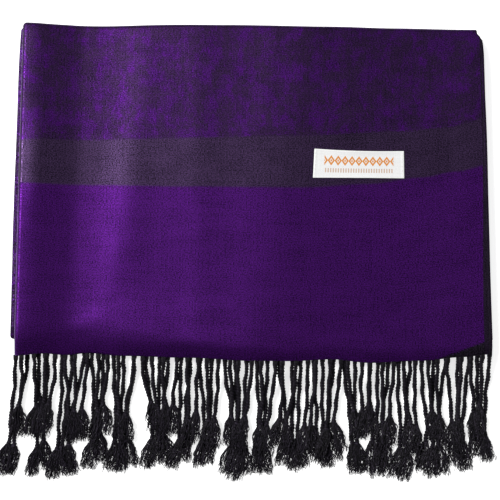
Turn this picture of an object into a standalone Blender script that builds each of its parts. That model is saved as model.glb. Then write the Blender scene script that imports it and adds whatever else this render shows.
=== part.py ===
"""A long fringed shawl, folded flat and lying on a surface.

The shawl is folded once across its width, with the fold at the left, and in eight along its length.
The fringed end lies on top: an upper leaf over a lower leaf, joined by the fold at the left, over the
fourteen layers underneath. Sizes are in millimetres, and add_object turns them into metres.
X runs across the folded shawl, Y from the fringe to the back fold, and Z up from the surface.
"""

import math

import bpy
import numpy as np

MM = 0.001

# The shawl as it was woven, and how it is folded.
SHAWL_WIDTH = 700.0
SHAWL_LENGTH = 2000.0
FOLDS_ACROSS = 2
FOLDS_ALONG = 8
LEAF_WIDTH = SHAWL_WIDTH / FOLDS_ACROSS
PANEL_LENGTH = SHAWL_LENGTH / FOLDS_ALONG

# The cloth wall and the space between pieces.
WALL = 1.2
GAP = 0.3

# The upper leaf in plan. Its flat part ends where the folds begin to roll over.
UPPER_RIGHT = LEAF_WIDTH / 2 + 1.0
FLAT_LEFT = -LEAF_WIDTH / 2 + 4.5
FLAT_BACK = PANEL_LENGTH / 2 - 1.5
BACK_SKEW = -0.0165
LOWER_RIGHT = UPPER_RIGHT + 2.2
LOWER_HEM_SET_BACK = 1.5

# Heights. The layers dip at the left and the back, where the upper leaf rolls over them.
LAYERS_HEIGHT = 8.4
EDGE_DIP = 3.9
EDGE_DIP_REACH = 19.0
HEM_REACH = 24.0
UPPER_HEM_FALL = 4.4
LOWER_HEM_FALL = 5.2

# The hem, from left to right. The weft drifts up at the right end.
HEM_LINE = (
    # across, hem
    (-175.0, -123.4),
    (-140.0, -120.4),
    (-90.0, -122.4),
    (-45.0, -122.6),
    (0.0, -125.8),
    (60.0, -126.4),
    (110.0, -127.8),
    (135.0, -127.0),
    (158.0, -120.6),
    (178.0, -117.8),
)

# Soft folds that run from the hem to the back: where each lies, how wide it is and how high.
LONG_FOLDS = (
    # name, across at hem, across at back, half width, height
    ("left crest", -167.0, -166.0, 13.0, 1.3),
    ("left trough", -131.0, -126.0, 28.0, -2.1),
    ("broad ridge", -74.0, -66.0, 44.0, 1.7),
    ("middle rise", 30.0, 62.0, 62.0, 0.5),
    ("right fall", 190.0, 196.0, 45.0, -1.3),
)

# Soft folds that run across: how far from the hem, and between which ends they lie. They fade in and
# out over a share of their length at each end.
CROSS_FOLDS = (
    # name, from hem, half width, left end, right end, height
    ("hem swell", 36.0, 24.0, -135.0, 40.0, 0.8),
    ("back swell", 232.0, 30.0, -120.0, 150.0, 0.5),
)
CROSS_FOLD_END = 0.35

# Columns of the cloth's faces across the leaf, and rows from the hem to the back.
LEFT_COLUMNS = (-170.5, -163.0, -156.0, -149.0, -141.0, -131.0, -119.0, -104.0, -87.0, -66.0)
COLUMNS = (*LEFT_COLUMNS, -38.0, 0.0, 40.0, 80.0, 112.0, 134.0, 147.0, 160.0)
HEM_ROWS = (4.0, 8.0, 12.0, 16.0, 21.0, 27.0, 35.0, 46.0)
BACK_ROW_SHARES = (0.15, 0.33, 0.53, 0.72, 0.87, 0.94, 1.0)
ROLL_STEPS = 6
ROLL_ANGLE = math.radians(170.0)
CORNER_ROLL_ANGLE = math.radians(145.0)

# The layers' edges, one row for each folded pair from the bottom up: how far it stands out.
PAIR_EDGES = (
    # left, right, back, front
    (8.6, 2.6, 1.6, 1.5),
    (9.4, 3.4, 2.2, 2.5),
    (8.8, 2.9, 1.4, 1.8),
    (9.2, 3.6, 1.9, 2.6),
    (7.4, 2.4, 1.2, 1.4),
    (7.9, 3.1, 1.7, 2.0),
    (6.0, 1.9, 1.1, 1.3),
)
LAYERS_FRONT_ROW = 16.0
GROOVE_DEPTH = 0.9
CORNER_PULL = 0.62
NEXT_TO_CORNER_PULL = 0.93

# The label, a thin woven strip near the dark band.
LABEL_CENTRE = (82.6, 19.2)
LABEL_SIZE = (67.0, 21.5)
LABEL_TURN = math.radians(-1.6)
LABEL_WALL = 1.0
LABEL_CELLS = (6, 2)

# The fringe. Each strand is a twisted cord, a knot and a brush end.
STRIP_WIDTH = 1.4
FIRST_ROOT = -171.4
UPPER_LAST_ROOT = 173.4
LOWER_LAST_ROOT = 175.6
STRIP_MARGIN = 1.3
ROOT_WIDTH = 2.0
BRUSH_LENGTH = 17.0
GATHER_REACH = 44.0
GATHER_PITCH = 3.5
GATHER_BIAS = 0.82
SETTLE_REACH = 32.0
LOWER_REST = 1.3
UPPER_REST = 3.6
TIP_DROP = 0.4
SPREAD_FROM = 0.55
DROP_FROM = 1.3

# A strand's sideways sway, and how lengths differ between neighbours.
SWAY = 0.7
SWAY_TURN_PER_MM = 0.039
LENGTH_STAGGER = 2.6
STAGGER_TURN = 2.4
STAGGER_START = 0.7

# A strand's sections. Its share is 0 to 1 along the cord, and 1 to 2 along the brush.
STRAND_SECTIONS = (
    # share, width, height
    (0.06, 2.1, 1.5),
    (0.24, 2.2, 1.6),
    (0.44, 2.2, 1.6),
    (0.66, 2.2, 1.6),
    (0.92, 2.2, 1.6),
    (1.00, 3.0, 2.0),
    (1.16, 2.3, 1.6),
    (1.55, 3.6, 1.6),
    (2.00, 4.3, 0.9),
)

# The strands gather into tassels. Tips lie at the pitch given, round the place given.
UPPER_TASSELS = (
    # strands, tip across, tip pitch, tip along
    (1, -171.0, 5.0, -184.0),
    (3, -153.5, 5.2, -182.5),
    (3, -128.0, 5.0, -186.0),
    (2, -110.5, 5.2, -183.5),
    (2, -94.5, 5.0, -187.0),
    (4, -64.0, 5.0, -182.0),
    (2, -43.5, 5.2, -189.0),
    (2, -29.5, 5.6, -191.0),
    (3, -10.0, 5.4, -192.0),
    (2, 9.5, 5.4, -195.0),
    (2, 24.0, 5.6, -193.5),
    (2, 42.5, 5.2, -197.0),
    (2, 59.0, 10.5, -196.0),
    (3, 83.0, 5.0, -184.0),
    (2, 99.0, 5.8, -191.5),
    (2, 119.5, 5.2, -195.0),
    (2, 137.0, 5.4, -188.5),
    (2, 150.5, 5.6, -194.0),
    (2, 167.5, 5.2, -184.0),
)
LOWER_TASSELS = (
    # strands, tip across, tip pitch, tip along
    (2, -177.0, 5.4, -211.0),
    (2, -154.0, 10.5, -210.0),
    (3, -138.0, 5.2, -211.5),
    (2, -112.5, 8.5, -204.0),
    (3, -95.0, 6.0, -207.5),
    (3, -68.0, 7.5, -203.5),
    (2, -51.0, 7.5, -204.0),
    (2, -32.5, 7.0, -203.0),
    (3, -9.5, 6.4, -212.0),
    (2, 7.5, 6.6, -208.5),
    (3, 32.0, 7.2, -206.0),
    (3, 54.0, 7.6, -203.0),
    (2, 77.5, 5.4, -208.5),
    (3, 94.0, 6.2, -209.5),
    (2, 111.5, 6.4, -212.5),
    (3, 133.0, 7.6, -210.5),
    (2, 153.5, 6.8, -205.5),
    (2, 170.0, 6.2, -200.0),
)


def smooth(low, high, value):
    """0 below low, 1 above high, and a smooth step between them."""
    t = min(max((value - low) / (high - low), 0.0), 1.0)
    return t * t * (3.0 - 2.0 * t)


def hump(distance, half_width):
    """1 at no distance, falling smoothly to 0."""
    return math.exp(-((distance / half_width) ** 2))


def hem_at(x):
    """The place of the upper leaf's cut end, along Y."""
    for (x_a, y_a), (x_b, y_b) in zip(HEM_LINE, HEM_LINE[1:]):
        if x <= x_b:
            break
    return y_a + (y_b - y_a) * smooth(x_a, x_b, x)


def set_back_at(x):
    """How far the lower leaf's cut end lies behind the upper leaf's. The two meet at the left fold."""
    return LOWER_HEM_SET_BACK * smooth(FLAT_LEFT, COLUMNS[2], x)


def back_at(x):
    """Where the leaf begins to roll over the back fold, along Y."""
    return FLAT_BACK + BACK_SKEW * x


def folds(x, y):
    """The height of the soft folds over a flat cloth."""
    from_hem = y - hem_at(x)
    along = from_hem / PANEL_LENGTH
    height = 0.0
    for _, at_hem, at_back, half_width, rise in LONG_FOLDS:
        middle = at_hem + (at_back - at_hem) * along
        height += rise * hump(x - middle, half_width)
    for _, place, half_width, left, right, rise in CROSS_FOLDS:
        end = CROSS_FOLD_END * (right - left)
        ends = smooth(left, left + end, x) * (1.0 - smooth(right - end, right, x))
        height += rise * ends * hump(from_hem - place, half_width)
    return height


def hem_fall(x, y):
    """0 on the layers, rising to 1 at the hem, where the cloth falls over their front edge."""
    short = max(0.0, 1.0 - (y - hem_at(x)) / HEM_REACH)
    return short * short


def edge_dip(x, y):
    """How far the layers dip towards the left fold and the back fold."""
    left = smooth(0.0, 1.0, (FLAT_LEFT + EDGE_DIP_REACH - x) / EDGE_DIP_REACH)
    back = smooth(0.0, 1.0, (y - back_at(x) + EDGE_DIP_REACH) / EDGE_DIP_REACH)
    return EDGE_DIP * (1.0 - (1.0 - left) * (1.0 - back))


def layers_top(x, y):
    """The top of the folded layers."""
    return LAYERS_HEIGHT + folds(x, y) - edge_dip(x, y) - LOWER_HEM_FALL * hem_fall(x, y)


def lower_middle(x, y):
    """The middle of the lower leaf's wall."""
    return layers_top(x, y) + GAP + WALL / 2


def upper_middle(x, y):
    """The middle of the upper leaf's wall."""
    flat = LAYERS_HEIGHT + GAP + WALL + GAP + WALL / 2
    return flat + folds(x, y) - UPPER_HEM_FALL * hem_fall(x, y)


def roll_radius(x, y):
    """The fold's radius, from the upper leaf's middle down to the lower leaf's."""
    return (upper_middle(x, y) - lower_middle(x, y)) / 2


def column_rows(x, first=0.0):
    """The rows' places along Y in one column, from the hem or a little behind it to the back."""
    hem = hem_at(x)
    back = back_at(x)
    last_near = hem + HEM_ROWS[-1]
    rows = [hem + first]
    rows += [hem + row for row in HEM_ROWS if row > first]
    rows += [last_near + (back - last_near) * share for share in BACK_ROW_SHARES]
    return rows


def add_object(name, points, faces, colour, roughness):
    """Makes a named object from points in millimetres and faces, with its own material."""
    mesh = bpy.data.meshes.new(name)
    mesh.from_pydata([tuple(float(c) * MM for c in p) for p in points], [], faces)
    mesh.validate()
    mesh.shade_smooth()
    mesh.set_sharp_from_angle(angle=math.radians(40.0))
    material = bpy.data.materials.new(name)
    material.use_nodes = True
    shader = material.node_tree.nodes["Principled BSDF"]
    shader.inputs["Base Color"].default_value = (*colour, 1.0)
    shader.inputs["Roughness"].default_value = roughness
    shader.inputs["Metallic"].default_value = 0.0
    mesh.materials.append(material)
    made = bpy.data.objects.new(name, mesh)
    bpy.context.scene.collection.objects.link(made)
    return made


def grid_faces(columns, rows):
    """Faces of a grid of points, which is listed column by column. They face up."""
    faces = []
    for i in range(columns - 1):
        for j in range(rows - 1):
            a = i * rows + j
            b = a + rows
            faces += [(a, b, a + 1), (b, b + 1, a + 1)]
    return faces


def wall_faces(columns, rows):
    """Faces of a wall: an upper grid, a lower grid and the rim between them."""
    size = columns * rows
    faces = grid_faces(columns, rows)
    faces += [(size + c, size + b, size + a) for a, b, c in faces]
    rim = [i * rows for i in range(columns)]
    rim += [(columns - 1) * rows + j for j in range(1, rows)]
    rim += [i * rows + rows - 1 for i in range(columns - 2, -1, -1)]
    rim += [j for j in range(rows - 2, 0, -1)]
    for a, b in zip(rim, rim[1:] + rim[:1]):
        faces += [(a, size + a, size + b), (a, size + b, b)]
    return faces


def rolled_point(x, y, over_left, over_back, side):
    """A point of the upper leaf. over_left and over_back run from 0 to 1 round the two folds."""
    middle = upper_middle(x, y)
    radius = roll_radius(x, y)
    share = max(over_left, over_back)
    if share == 0.0:
        return (x, y, middle + side * WALL / 2)
    if over_left >= over_back:
        turn = math.pi / 4 * over_back / over_left
    else:
        turn = math.pi / 2 - math.pi / 4 * over_left / over_back
    corner = math.sin(2.0 * turn)
    angle = share * (ROLL_ANGLE + (CORNER_ROLL_ANGLE - ROLL_ANGLE) * corner)
    reach = radius + side * WALL / 2
    out = reach * math.sin(angle)
    return (x - out * math.cos(turn), y + out * math.sin(turn), middle - radius + reach * math.cos(angle))


def build_upper_leaf():
    """The front half of the fringed end, which rolls over the left fold and the back fold."""
    steps = [k / ROLL_STEPS for k in range(ROLL_STEPS, 0, -1)]
    across = [(COLUMNS[0], step) for step in steps]
    across += [(x, 0.0) for x in (*COLUMNS, UPPER_RIGHT)]
    points = []
    for side in (1.0, -1.0):
        for x, over_left in across:
            rows = column_rows(x)
            along = [(y, 0.0) for y in rows] + [(rows[-1], step) for step in reversed(steps)]
            points += [rolled_point(x, y, over_left, over_back, side) for y, over_back in along]
    faces = wall_faces(len(across), len(points) // 2 // len(across))
    return add_object("upper_leaf", points, faces, (0.045, 0.008, 0.100), 0.45)


def build_lower_leaf():
    """The back half of the fringed end. It meets the upper leaf's rolled edges."""
    across = (COLUMNS[0] + GAP, *COLUMNS[1:], LOWER_RIGHT)
    points = []
    for side in (1.0, -1.0):
        for x in across:
            rows = column_rows(x, set_back_at(x))
            rows[-1] -= GAP
            points += [(x, y, lower_middle(x, y) + side * WALL / 2) for y in rows]
    faces = wall_faces(len(across), len(points) // 2 // len(across))
    return add_object("lower_leaf", points, faces, (0.040, 0.007, 0.088), 0.5)


def build_folded_layers():
    """The layers underneath: a curved top, a flat underside, and an edge for each folded pair."""
    across = (COLUMNS[0] + GAP, *COLUMNS[1:], UPPER_RIGHT)
    grid = []
    for x in across:
        rows = column_rows(x, LAYERS_FRONT_ROW)
        rows[-1] -= GAP
        grid.append([(x, y, layers_top(x, y)) for y in rows])
    columns = len(across)
    rows = len(grid[0])
    points = [p for column in grid for p in column]
    faces = grid_faces(columns, rows)
    rim = [(i, 0) for i in range(columns)]
    rim += [(columns - 1, j) for j in range(1, rows)]
    rim += [(i, rows - 1) for i in range(columns - 2, -1, -1)]
    rim += [(0, j) for j in range(rows - 2, 0, -1)]
    ring_below = [i * rows + j for i, j in rim]
    for level, outsets in edge_levels():
        ring = []
        for i, j in rim:
            ring.append(len(points))
            points.append(edge_point(grid[i][j], i, j, columns, rows, level, outsets))
        for k in range(len(rim)):
            a, b = ring_below[k], ring_below[k - 1]
            c, d = ring[k - 1], ring[k]
            faces += [(a, b, c), (a, c, d)]
        ring_below = ring
    faces.append(tuple(reversed(ring_below)))
    return add_object("folded_layers", points, faces, (0.036, 0.010, 0.074), 0.6)


def edge_levels():
    """The levels of the layers' edges from the top down: a share of the height, and four outsets."""
    pairs = len(PAIR_EDGES)
    levels = []
    for k in range(pairs - 1, -1, -1):
        levels.append(((k + 0.5) / pairs, PAIR_EDGES[k]))
        below = PAIR_EDGES[k - 1] if k else PAIR_EDGES[0]
        groove = tuple(min(a, b) - GROOVE_DEPTH for a, b in zip(PAIR_EDGES[k], below))
        levels.append((k / pairs, groove))
    return levels


def edge_point(top, i, j, columns, rows, level, outsets):
    """A point of the layers' edge: under a point of the top's rim, moved out on its own side."""
    left, right, back, front = outsets
    out_x = -left if i == 0 else right if i == columns - 1 else 0.0
    out_y = -front if j == 0 else back if j == rows - 1 else 0.0
    if out_x and out_y:
        out_x *= CORNER_PULL
        out_y *= CORNER_PULL
    elif out_x and j in (1, rows - 2) or out_y and i in (1, columns - 2):
        out_x *= NEXT_TO_CORNER_PULL
        out_y *= NEXT_TO_CORNER_PULL
    return (top[0] + out_x, top[1] + out_y, top[2] * level)


def build_label():
    """The woven label: points of the upper leaf's face, moved out."""
    columns, rows = (count + 1 for count in LABEL_CELLS)
    points = []
    for lift in (GAP + LABEL_WALL, GAP):
        for i in range(columns):
            for j in range(rows):
                u = (i / LABEL_CELLS[0] - 0.5) * LABEL_SIZE[0]
                v = (j / LABEL_CELLS[1] - 0.5) * LABEL_SIZE[1]
                x = LABEL_CENTRE[0] + u * math.cos(LABEL_TURN) - v * math.sin(LABEL_TURN)
                y = LABEL_CENTRE[1] + u * math.sin(LABEL_TURN) + v * math.cos(LABEL_TURN)
                points.append((x, y, upper_middle(x, y) + WALL / 2 + lift))
    faces = wall_faces(columns, rows)
    return add_object("label", points, faces, (0.86, 0.84, 0.82), 0.55)


def between_columns(value, x):
    """A value that is exact at the cloth's columns and straight between them, as its faces are."""
    places = (*COLUMNS, LOWER_RIGHT)
    for a, b in zip(places, places[1:]):
        if x <= b:
            break
    share = (x - a) / (b - a)
    return value(a) + (value(b) - value(a)) * share


def strip_middle(x, y, row):
    """The middle height of a fringe's strip, which follows its leaf, and the left fold round."""
    middle = upper_middle if row == "upper" else lower_middle
    if x >= FLAT_LEFT:
        return middle(x, y)
    radius = roll_radius(FLAT_LEFT, y)
    over = min(FLAT_LEFT - x, radius)
    turned = math.sqrt(radius * radius - over * over)
    centre = upper_middle(FLAT_LEFT, y) - radius
    return centre + turned if row == "upper" else centre - turned


def tassel_strands(tassels, first_root, last_root):
    """The strands of a row: each one's root, the place where it is gathered, and its tip."""
    total = sum(tassel[0] for tassel in tassels)
    pitch = (last_root - first_root) / (total - 1)
    strands = []
    for count, tip_x, tip_pitch, tip_y in tassels:
        roots = [first_root + pitch * (len(strands) + k) for k in range(count)]
        middle = sum(roots) / count
        gathered = middle + (tip_x - middle) * GATHER_BIAS
        for k, root in enumerate(roots):
            number = len(strands)
            side = k - (count - 1) / 2
            stagger = LENGTH_STAGGER * math.sin(STAGGER_TURN * number + STAGGER_START)
            strands.append(
                {
                    "root": root,
                    "gather": gathered + side * GATHER_PITCH,
                    "tip": (tip_x + side * tip_pitch, tip_y + stagger),
                    "phase": SWAY_TURN_PER_MM * tip_x,
                }
            )
    return strands


def strand_place(strand, share, start, rest):
    """The middle of a strand at a share of its length: 0 to 1 along the cord, 1 to 2 in the brush."""
    root_x, root_y, root_z = start
    tip_x, tip_y = strand["tip"]
    knot_y = tip_y + BRUSH_LENGTH
    if share <= 1.0:
        y = root_y + (knot_y - root_y) * share
    else:
        y = knot_y + (tip_y - knot_y) * (share - 1.0)
    down = root_y - y
    x = root_x + (strand["gather"] - root_x) * smooth(0.0, GATHER_REACH, down)
    x += (tip_x - strand["gather"]) * smooth(SPREAD_FROM, 2.0, share)
    x += SWAY * math.sin(strand["phase"] + math.pi * share) * smooth(0.0, 1.0, share) * (2.0 - share)
    settle = max(0.0, 1.0 - down / SETTLE_REACH)
    z = rest + (root_z - rest) * settle * settle - TIP_DROP * smooth(DROP_FROM, 2.0, share)
    return x, y, z


def build_fringe(row, tassels, last_root, rest):
    """One row of strands, fused into a narrow strip that follows the leaf's cut end."""
    strands = tassel_strands(tassels, FIRST_ROOT, last_root)
    edges = [FIRST_ROOT - STRIP_MARGIN]
    for strand in strands:
        edges += [strand["root"] - ROOT_WIDTH / 2, strand["root"] + ROOT_WIDTH / 2]
    edges.append(last_root + STRIP_MARGIN)
    points = []
    for x in edges:
        hem = between_columns(hem_at, x)
        if row == "lower":
            hem += between_columns(set_back_at, x)
        y_back = hem - GAP
        y_front = y_back - STRIP_WIDTH
        z = strip_middle(x, hem, row)
        for y, side in ((y_back, -1.0), (y_front, -1.0), (y_front, 1.0), (y_back, 1.0)):
            points.append((x, y, z + side * WALL / 2))
    faces = [(0, 1, 2, 3)]
    for k in range(len(edges) - 1):
        a = 4 * k
        b = a + 4
        faces += [(a, b, b + 1, a + 1), (a + 3, a + 2, b + 2, b + 3), (a, a + 3, b + 3, b)]
        if k % 2 == 0:
            faces.append((a + 1, b + 1, b + 2, a + 2))
    end = 4 * (len(edges) - 1)
    faces.append((end + 3, end + 2, end + 1, end))
    for number, strand in enumerate(strands):
        a = 4 * (2 * number + 1)
        ring = (a + 1, a + 5, a + 6, a + 2)
        middle = [sum(points[k][axis] for k in ring) / 4 for axis in range(3)]
        for share, width, height in STRAND_SECTIONS:
            x, y, z = strand_place(strand, share, middle, rest)
            first = len(points)
            for side, up in ((-1.0, -1.0), (1.0, -1.0), (1.0, 1.0), (-1.0, 1.0)):
                points.append((x + side * width / 2, y, z + up * height / 2))
            new = (first, first + 1, first + 2, first + 3)
            for k in range(4):
                faces.append((ring[k], ring[(k + 1) % 4], new[(k + 1) % 4], new[k]))
            ring = new
        faces.append(ring)
    return add_object("fringe_" + row, points, faces, (0.012, 0.008, 0.018), 0.7)


def centre_on_footprint(objects):
    """Moves every mesh so that the origin lies under the middle of the whole, on the surface."""
    corners = np.array([v.co[:] for made in objects for v in made.data.vertices])
    low = corners.min(axis=0)
    high = corners.max(axis=0)
    shift = np.array([(low[0] + high[0]) / 2, (low[1] + high[1]) / 2, 0.0])
    for made in objects:
        for vertex in made.data.vertices:
            vertex.co = vertex.co[:] - shift
        made.data.update()


def build_object():
    """Clears the scene and builds every piece."""
    for old in list(bpy.data.objects):
        bpy.data.objects.remove(old)
    made = [
        build_folded_layers(),
        build_lower_leaf(),
        build_upper_leaf(),
        build_label(),
        build_fringe("lower", LOWER_TASSELS, LOWER_LAST_ROOT, LOWER_REST),
        build_fringe("upper", UPPER_TASSELS, UPPER_LAST_ROOT, UPPER_REST),
    ]
    centre_on_footprint(made)


build_object()
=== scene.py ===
# %% [markdown]
# # A long fringed shawl, folded flat
#
# The shawl is one length of purple cloth, about 70 by 200 cm, folded once across its width and in
# eight along its length. It lies on a pale surface with one fringed end on top. Every cell below
# makes one piece or one finish of it, and says what that is on the real shawl and why it is made
# this way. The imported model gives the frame: each piece goes where that model says.

# %% Load the frame
import math

import bpy
import numpy as np
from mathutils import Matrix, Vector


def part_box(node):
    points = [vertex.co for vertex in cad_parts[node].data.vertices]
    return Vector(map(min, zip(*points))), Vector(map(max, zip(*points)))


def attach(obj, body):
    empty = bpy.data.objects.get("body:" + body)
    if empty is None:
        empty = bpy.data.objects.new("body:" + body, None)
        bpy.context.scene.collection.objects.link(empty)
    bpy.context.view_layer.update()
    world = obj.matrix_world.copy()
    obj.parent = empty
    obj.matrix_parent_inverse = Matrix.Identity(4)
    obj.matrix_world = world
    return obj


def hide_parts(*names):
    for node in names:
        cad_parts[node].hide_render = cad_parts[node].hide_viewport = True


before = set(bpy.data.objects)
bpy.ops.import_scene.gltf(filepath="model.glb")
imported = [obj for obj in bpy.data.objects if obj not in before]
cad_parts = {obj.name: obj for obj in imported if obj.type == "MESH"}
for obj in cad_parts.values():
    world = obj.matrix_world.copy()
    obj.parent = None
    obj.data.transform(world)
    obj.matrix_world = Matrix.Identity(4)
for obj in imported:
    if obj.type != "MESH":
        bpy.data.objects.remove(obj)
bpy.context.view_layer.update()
print("nodes:", ", ".join(sorted(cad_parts)))

# %% [markdown]
# ## The cloth's own frame
#
# The cloth is easiest to describe in millimetres from the middle of its folded outline, with X
# across it and Y from the fringe to the back fold. The label shows where that frame lies in the
# model, because its middle has a known place on the cloth.

# %% From the cloth's millimetres to the model's metres
MM = 0.001
LABEL_CENTRE = (82.6, 19.2)
label_low, label_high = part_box("label")
CLOTH_ORIGIN = np.array(
    [
        (label_low[0] + label_high[0]) / 2 - LABEL_CENTRE[0] * MM,
        (label_low[1] + label_high[1]) / 2 - LABEL_CENTRE[1] * MM,
        0.0,
    ]
)


def to_model(points_mm):
    """Points of the cloth's frame, in millimetres, as points of the model, in metres."""
    return np.asarray(points_mm, dtype=float) * MM + CLOTH_ORIGIN


print("the cloth's origin in the model:", np.round(CLOTH_ORIGIN, 4))

# %% [markdown]
# ## The camera
#
# The picture was taken from almost straight above, from the fringe side. A long lens keeps the
# folded cloth nearly square, as it is there. The camera comes first, because everything else is
# judged through it.

# %% Camera
CAMERA_TILT = math.radians(8.0)
CAMERA_DISTANCE = 850.0
LOOK_AT = (0.0, -45.5, 8.0)
LENS_MM = 81.95
SENSOR_MM = 36.0

camera_data = bpy.data.cameras.new("shawl_camera")
camera_data.lens = LENS_MM
camera_data.sensor_width = SENSOR_MM
camera_data.clip_end = 100.0
camera = bpy.data.objects.new("shawl_camera", camera_data)
camera.location = to_model(
    (
        LOOK_AT[0],
        LOOK_AT[1] - CAMERA_DISTANCE * math.sin(CAMERA_TILT),
        LOOK_AT[2] + CAMERA_DISTANCE * math.cos(CAMERA_TILT),
    )
)
camera.rotation_euler = (CAMERA_TILT, 0.0, 0.0)
bpy.context.scene.collection.objects.link(camera)
bpy.context.scene.camera = camera
print("camera height above the surface:", round(camera.location.z, 3), "m")

# %% [markdown]
# ## The cloth's form, as functions
#
# A folded cloth is a stack of surfaces that all follow the same soft folds. So the folds are
# functions of a place on the cloth, and each layer adds its own height. The solids have folds of the
# same kind but flatter, so the upper leaf stands up to about 6 mm off its solid in places. The
# functions take whole arrays of places at once.

# %% Sizes of the folded cloth, in millimetres
LEAF_WIDTH = 350.0
PANEL_LENGTH = 250.0
WALL = 1.2
GAP = 0.3
UPPER_RIGHT = LEAF_WIDTH / 2 + 1.0
LOWER_RIGHT = UPPER_RIGHT + 2.2
FLAT_LEFT = -LEAF_WIDTH / 2 + 4.5
LAYERS_HEIGHT = 8.4
EDGE_DIP = 3.9
EDGE_DIP_REACH = 19.0
LOWER_FALLS_FURTHER = 0.8
CORNER_PULL = 3.0
CORNER_PULL_REACH = 2.6
CORNER_PULL_WIDTH = 30.0
ROLL_ANGLE = math.radians(170.0)
CORNER_ROLL_ANGLE = math.radians(145.0)
SET_BACK = 1.5
SET_BACK_FROM = -170.5
SET_BACK_TO = -156.0

HEM_LINE = (
    # across, hem
    (-175.0, -124.2),
    (-152.0, -122.6),
    (-136.0, -123.6),
    (-120.0, -122.1),
    (-95.0, -124.3),
    (-45.0, -125.8),
    (0.0, -128.1),
    (30.0, -128.4),
    (60.0, -127.0),
    (88.0, -129.6),
    (128.0, -128.0),
    (153.0, -125.6),
    (178.0, -123.4),
)
BACK_LINE = (
    # across, back end of the flat part
    (-175.0, 126.9),
    (-150.0, 126.2),
    (-110.0, 125.7),
    (-60.0, 126.1),
    (-20.0, 125.6),
    (60.0, 123.6),
    (110.0, 122.5),
    (178.0, 120.8),
)
HEM_FALL_LINE = (
    # across, how far the upper leaf's hem falls
    (-178.0, 4.4),
    (-60.0, 3.4),
    (40.0, 2.0),
    (178.0, 1.6),
)
HEM_REACH_LINE = (
    # across, how far from the hem the cloth begins to fall
    (-178.0, 25.0),
    (-100.0, 22.0),
    (-50.0, 15.0),
    (20.0, 11.0),
    (178.0, 9.0),
)
LONG_FOLDS = (
    # name, across at hem, across at back, half width left and right, height
    ("left crest", -170.4, -167.0, 28.0, 19.5, 2.2),
    ("left trough", -129.5, -124.8, 22.0, 45.0, -3.0),
    ("ridge's far side", -69.0, -66.0, 21.0, 48.0, -0.6),
    ("small ridge", -37.0, -39.0, 11.0, 15.0, 0.3),
    ("middle rise", 14.0, 48.0, 41.0, 81.0, 2.0),
    ("right rise", 168.0, 180.0, 36.0, 30.0, 2.8),
)
CROSS_FOLDS = (
    # name, from hem, half width in front and behind, left end, right end, height
    ("hem swell", 12.0, 11.0, 21.0, -150.0, 60.0, 1.0),
    ("back swell", 232.0, 30.0, 24.0, -120.0, 150.0, 0.5),
)
CROSS_FOLD_END = 0.35


def smooth(low, high, value):
    """0 below low, 1 above high, and a smooth step between them."""
    t = np.clip((value - low) / (high - low), 0.0, 1.0)
    return t * t * (3.0 - 2.0 * t)


def hump(distance, half_width, other_side=None):
    """1 at no distance, falling smoothly to 0, also with another half width past the middle."""
    if other_side is not None:
        half_width = np.where(distance < 0.0, half_width, other_side)
    return np.exp(-((distance / half_width) ** 2))


def through(line, x):
    """A smooth curve through a table's points, read at x."""
    places, values = np.array(line).T
    k = np.clip(np.searchsorted(places, x) - 1, 0, len(places) - 2)
    return values[k] + (values[k + 1] - values[k]) * smooth(places[k], places[k + 1], x)


def hem_at(x):
    return through(HEM_LINE, x)


def back_at(x):
    return through(BACK_LINE, x)


def folds(x, y):
    """The height of the soft folds over a flat cloth."""
    from_hem = y - hem_at(x)
    along = from_hem / PANEL_LENGTH
    height = 0.0 * x
    for _, at_hem, at_back, half_left, half_right, rise in LONG_FOLDS:
        height = height + rise * hump(x - at_hem - (at_back - at_hem) * along, half_left, half_right)
    for _, place, half_front, half_behind, left, right, rise in CROSS_FOLDS:
        end = CROSS_FOLD_END * (right - left)
        ends = smooth(left, left + end, x) * (1.0 - smooth(right - end, right, x))
        height = height + rise * ends * hump(from_hem - place, half_front, half_behind)
    return height


def hem_fall(x, y, further=0.0):
    """How far the cloth has fallen over the layers' front edge: nothing on them, most at the hem."""
    share = np.maximum(0.0, 1.0 - (y - hem_at(x)) / through(HEM_REACH_LINE, x)) ** 2
    return (through(HEM_FALL_LINE, x) + further) * share


def edge_dip(x, y):
    """How far the layers dip towards the left fold and the back fold."""
    left = smooth(0.0, 1.0, (FLAT_LEFT + EDGE_DIP_REACH - x) / EDGE_DIP_REACH)
    back = smooth(0.0, 1.0, (y - back_at(x) + EDGE_DIP_REACH) / EDGE_DIP_REACH)
    return EDGE_DIP * (1.0 - (1.0 - left) * (1.0 - back))


def layers_top(x, y):
    return LAYERS_HEIGHT + folds(x, y) - edge_dip(x, y) - hem_fall(x, y, LOWER_FALLS_FURTHER)


def lower_middle(x, y):
    return layers_top(x, y) + GAP + WALL / 2


def upper_middle(x, y):
    flat = LAYERS_HEIGHT + GAP + WALL + GAP + WALL / 2
    return flat + folds(x, y) - hem_fall(x, y)


def corner_pull(x, y):
    """How far the right edge draws in near the back fold, which rounds the corner."""
    near_right = smooth(UPPER_RIGHT - CORNER_PULL_WIDTH, UPPER_RIGHT, x)
    return CORNER_PULL * near_right * hump(np.maximum(0.0, back_at(x) - y), CORNER_PULL_REACH)


def roll_radius(x, y):
    """The fold's radius, from the upper leaf's middle down to the lower leaf's."""
    return (upper_middle(x, y) - lower_middle(x, y)) / 2


middle = np.array([0.0])
print("the upper leaf's middle is", round(float(upper_middle(middle, middle)[0]), 2), "mm above the surface")

# %% [markdown]
# ## Fine creases
#
# A shawl that has been folded and handled has a few soft creases besides its large folds. Each one
# here is a straight soft ridge or trough with its own place, length, width and height, so no two
# are alike. They show only as light and shade.

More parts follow.
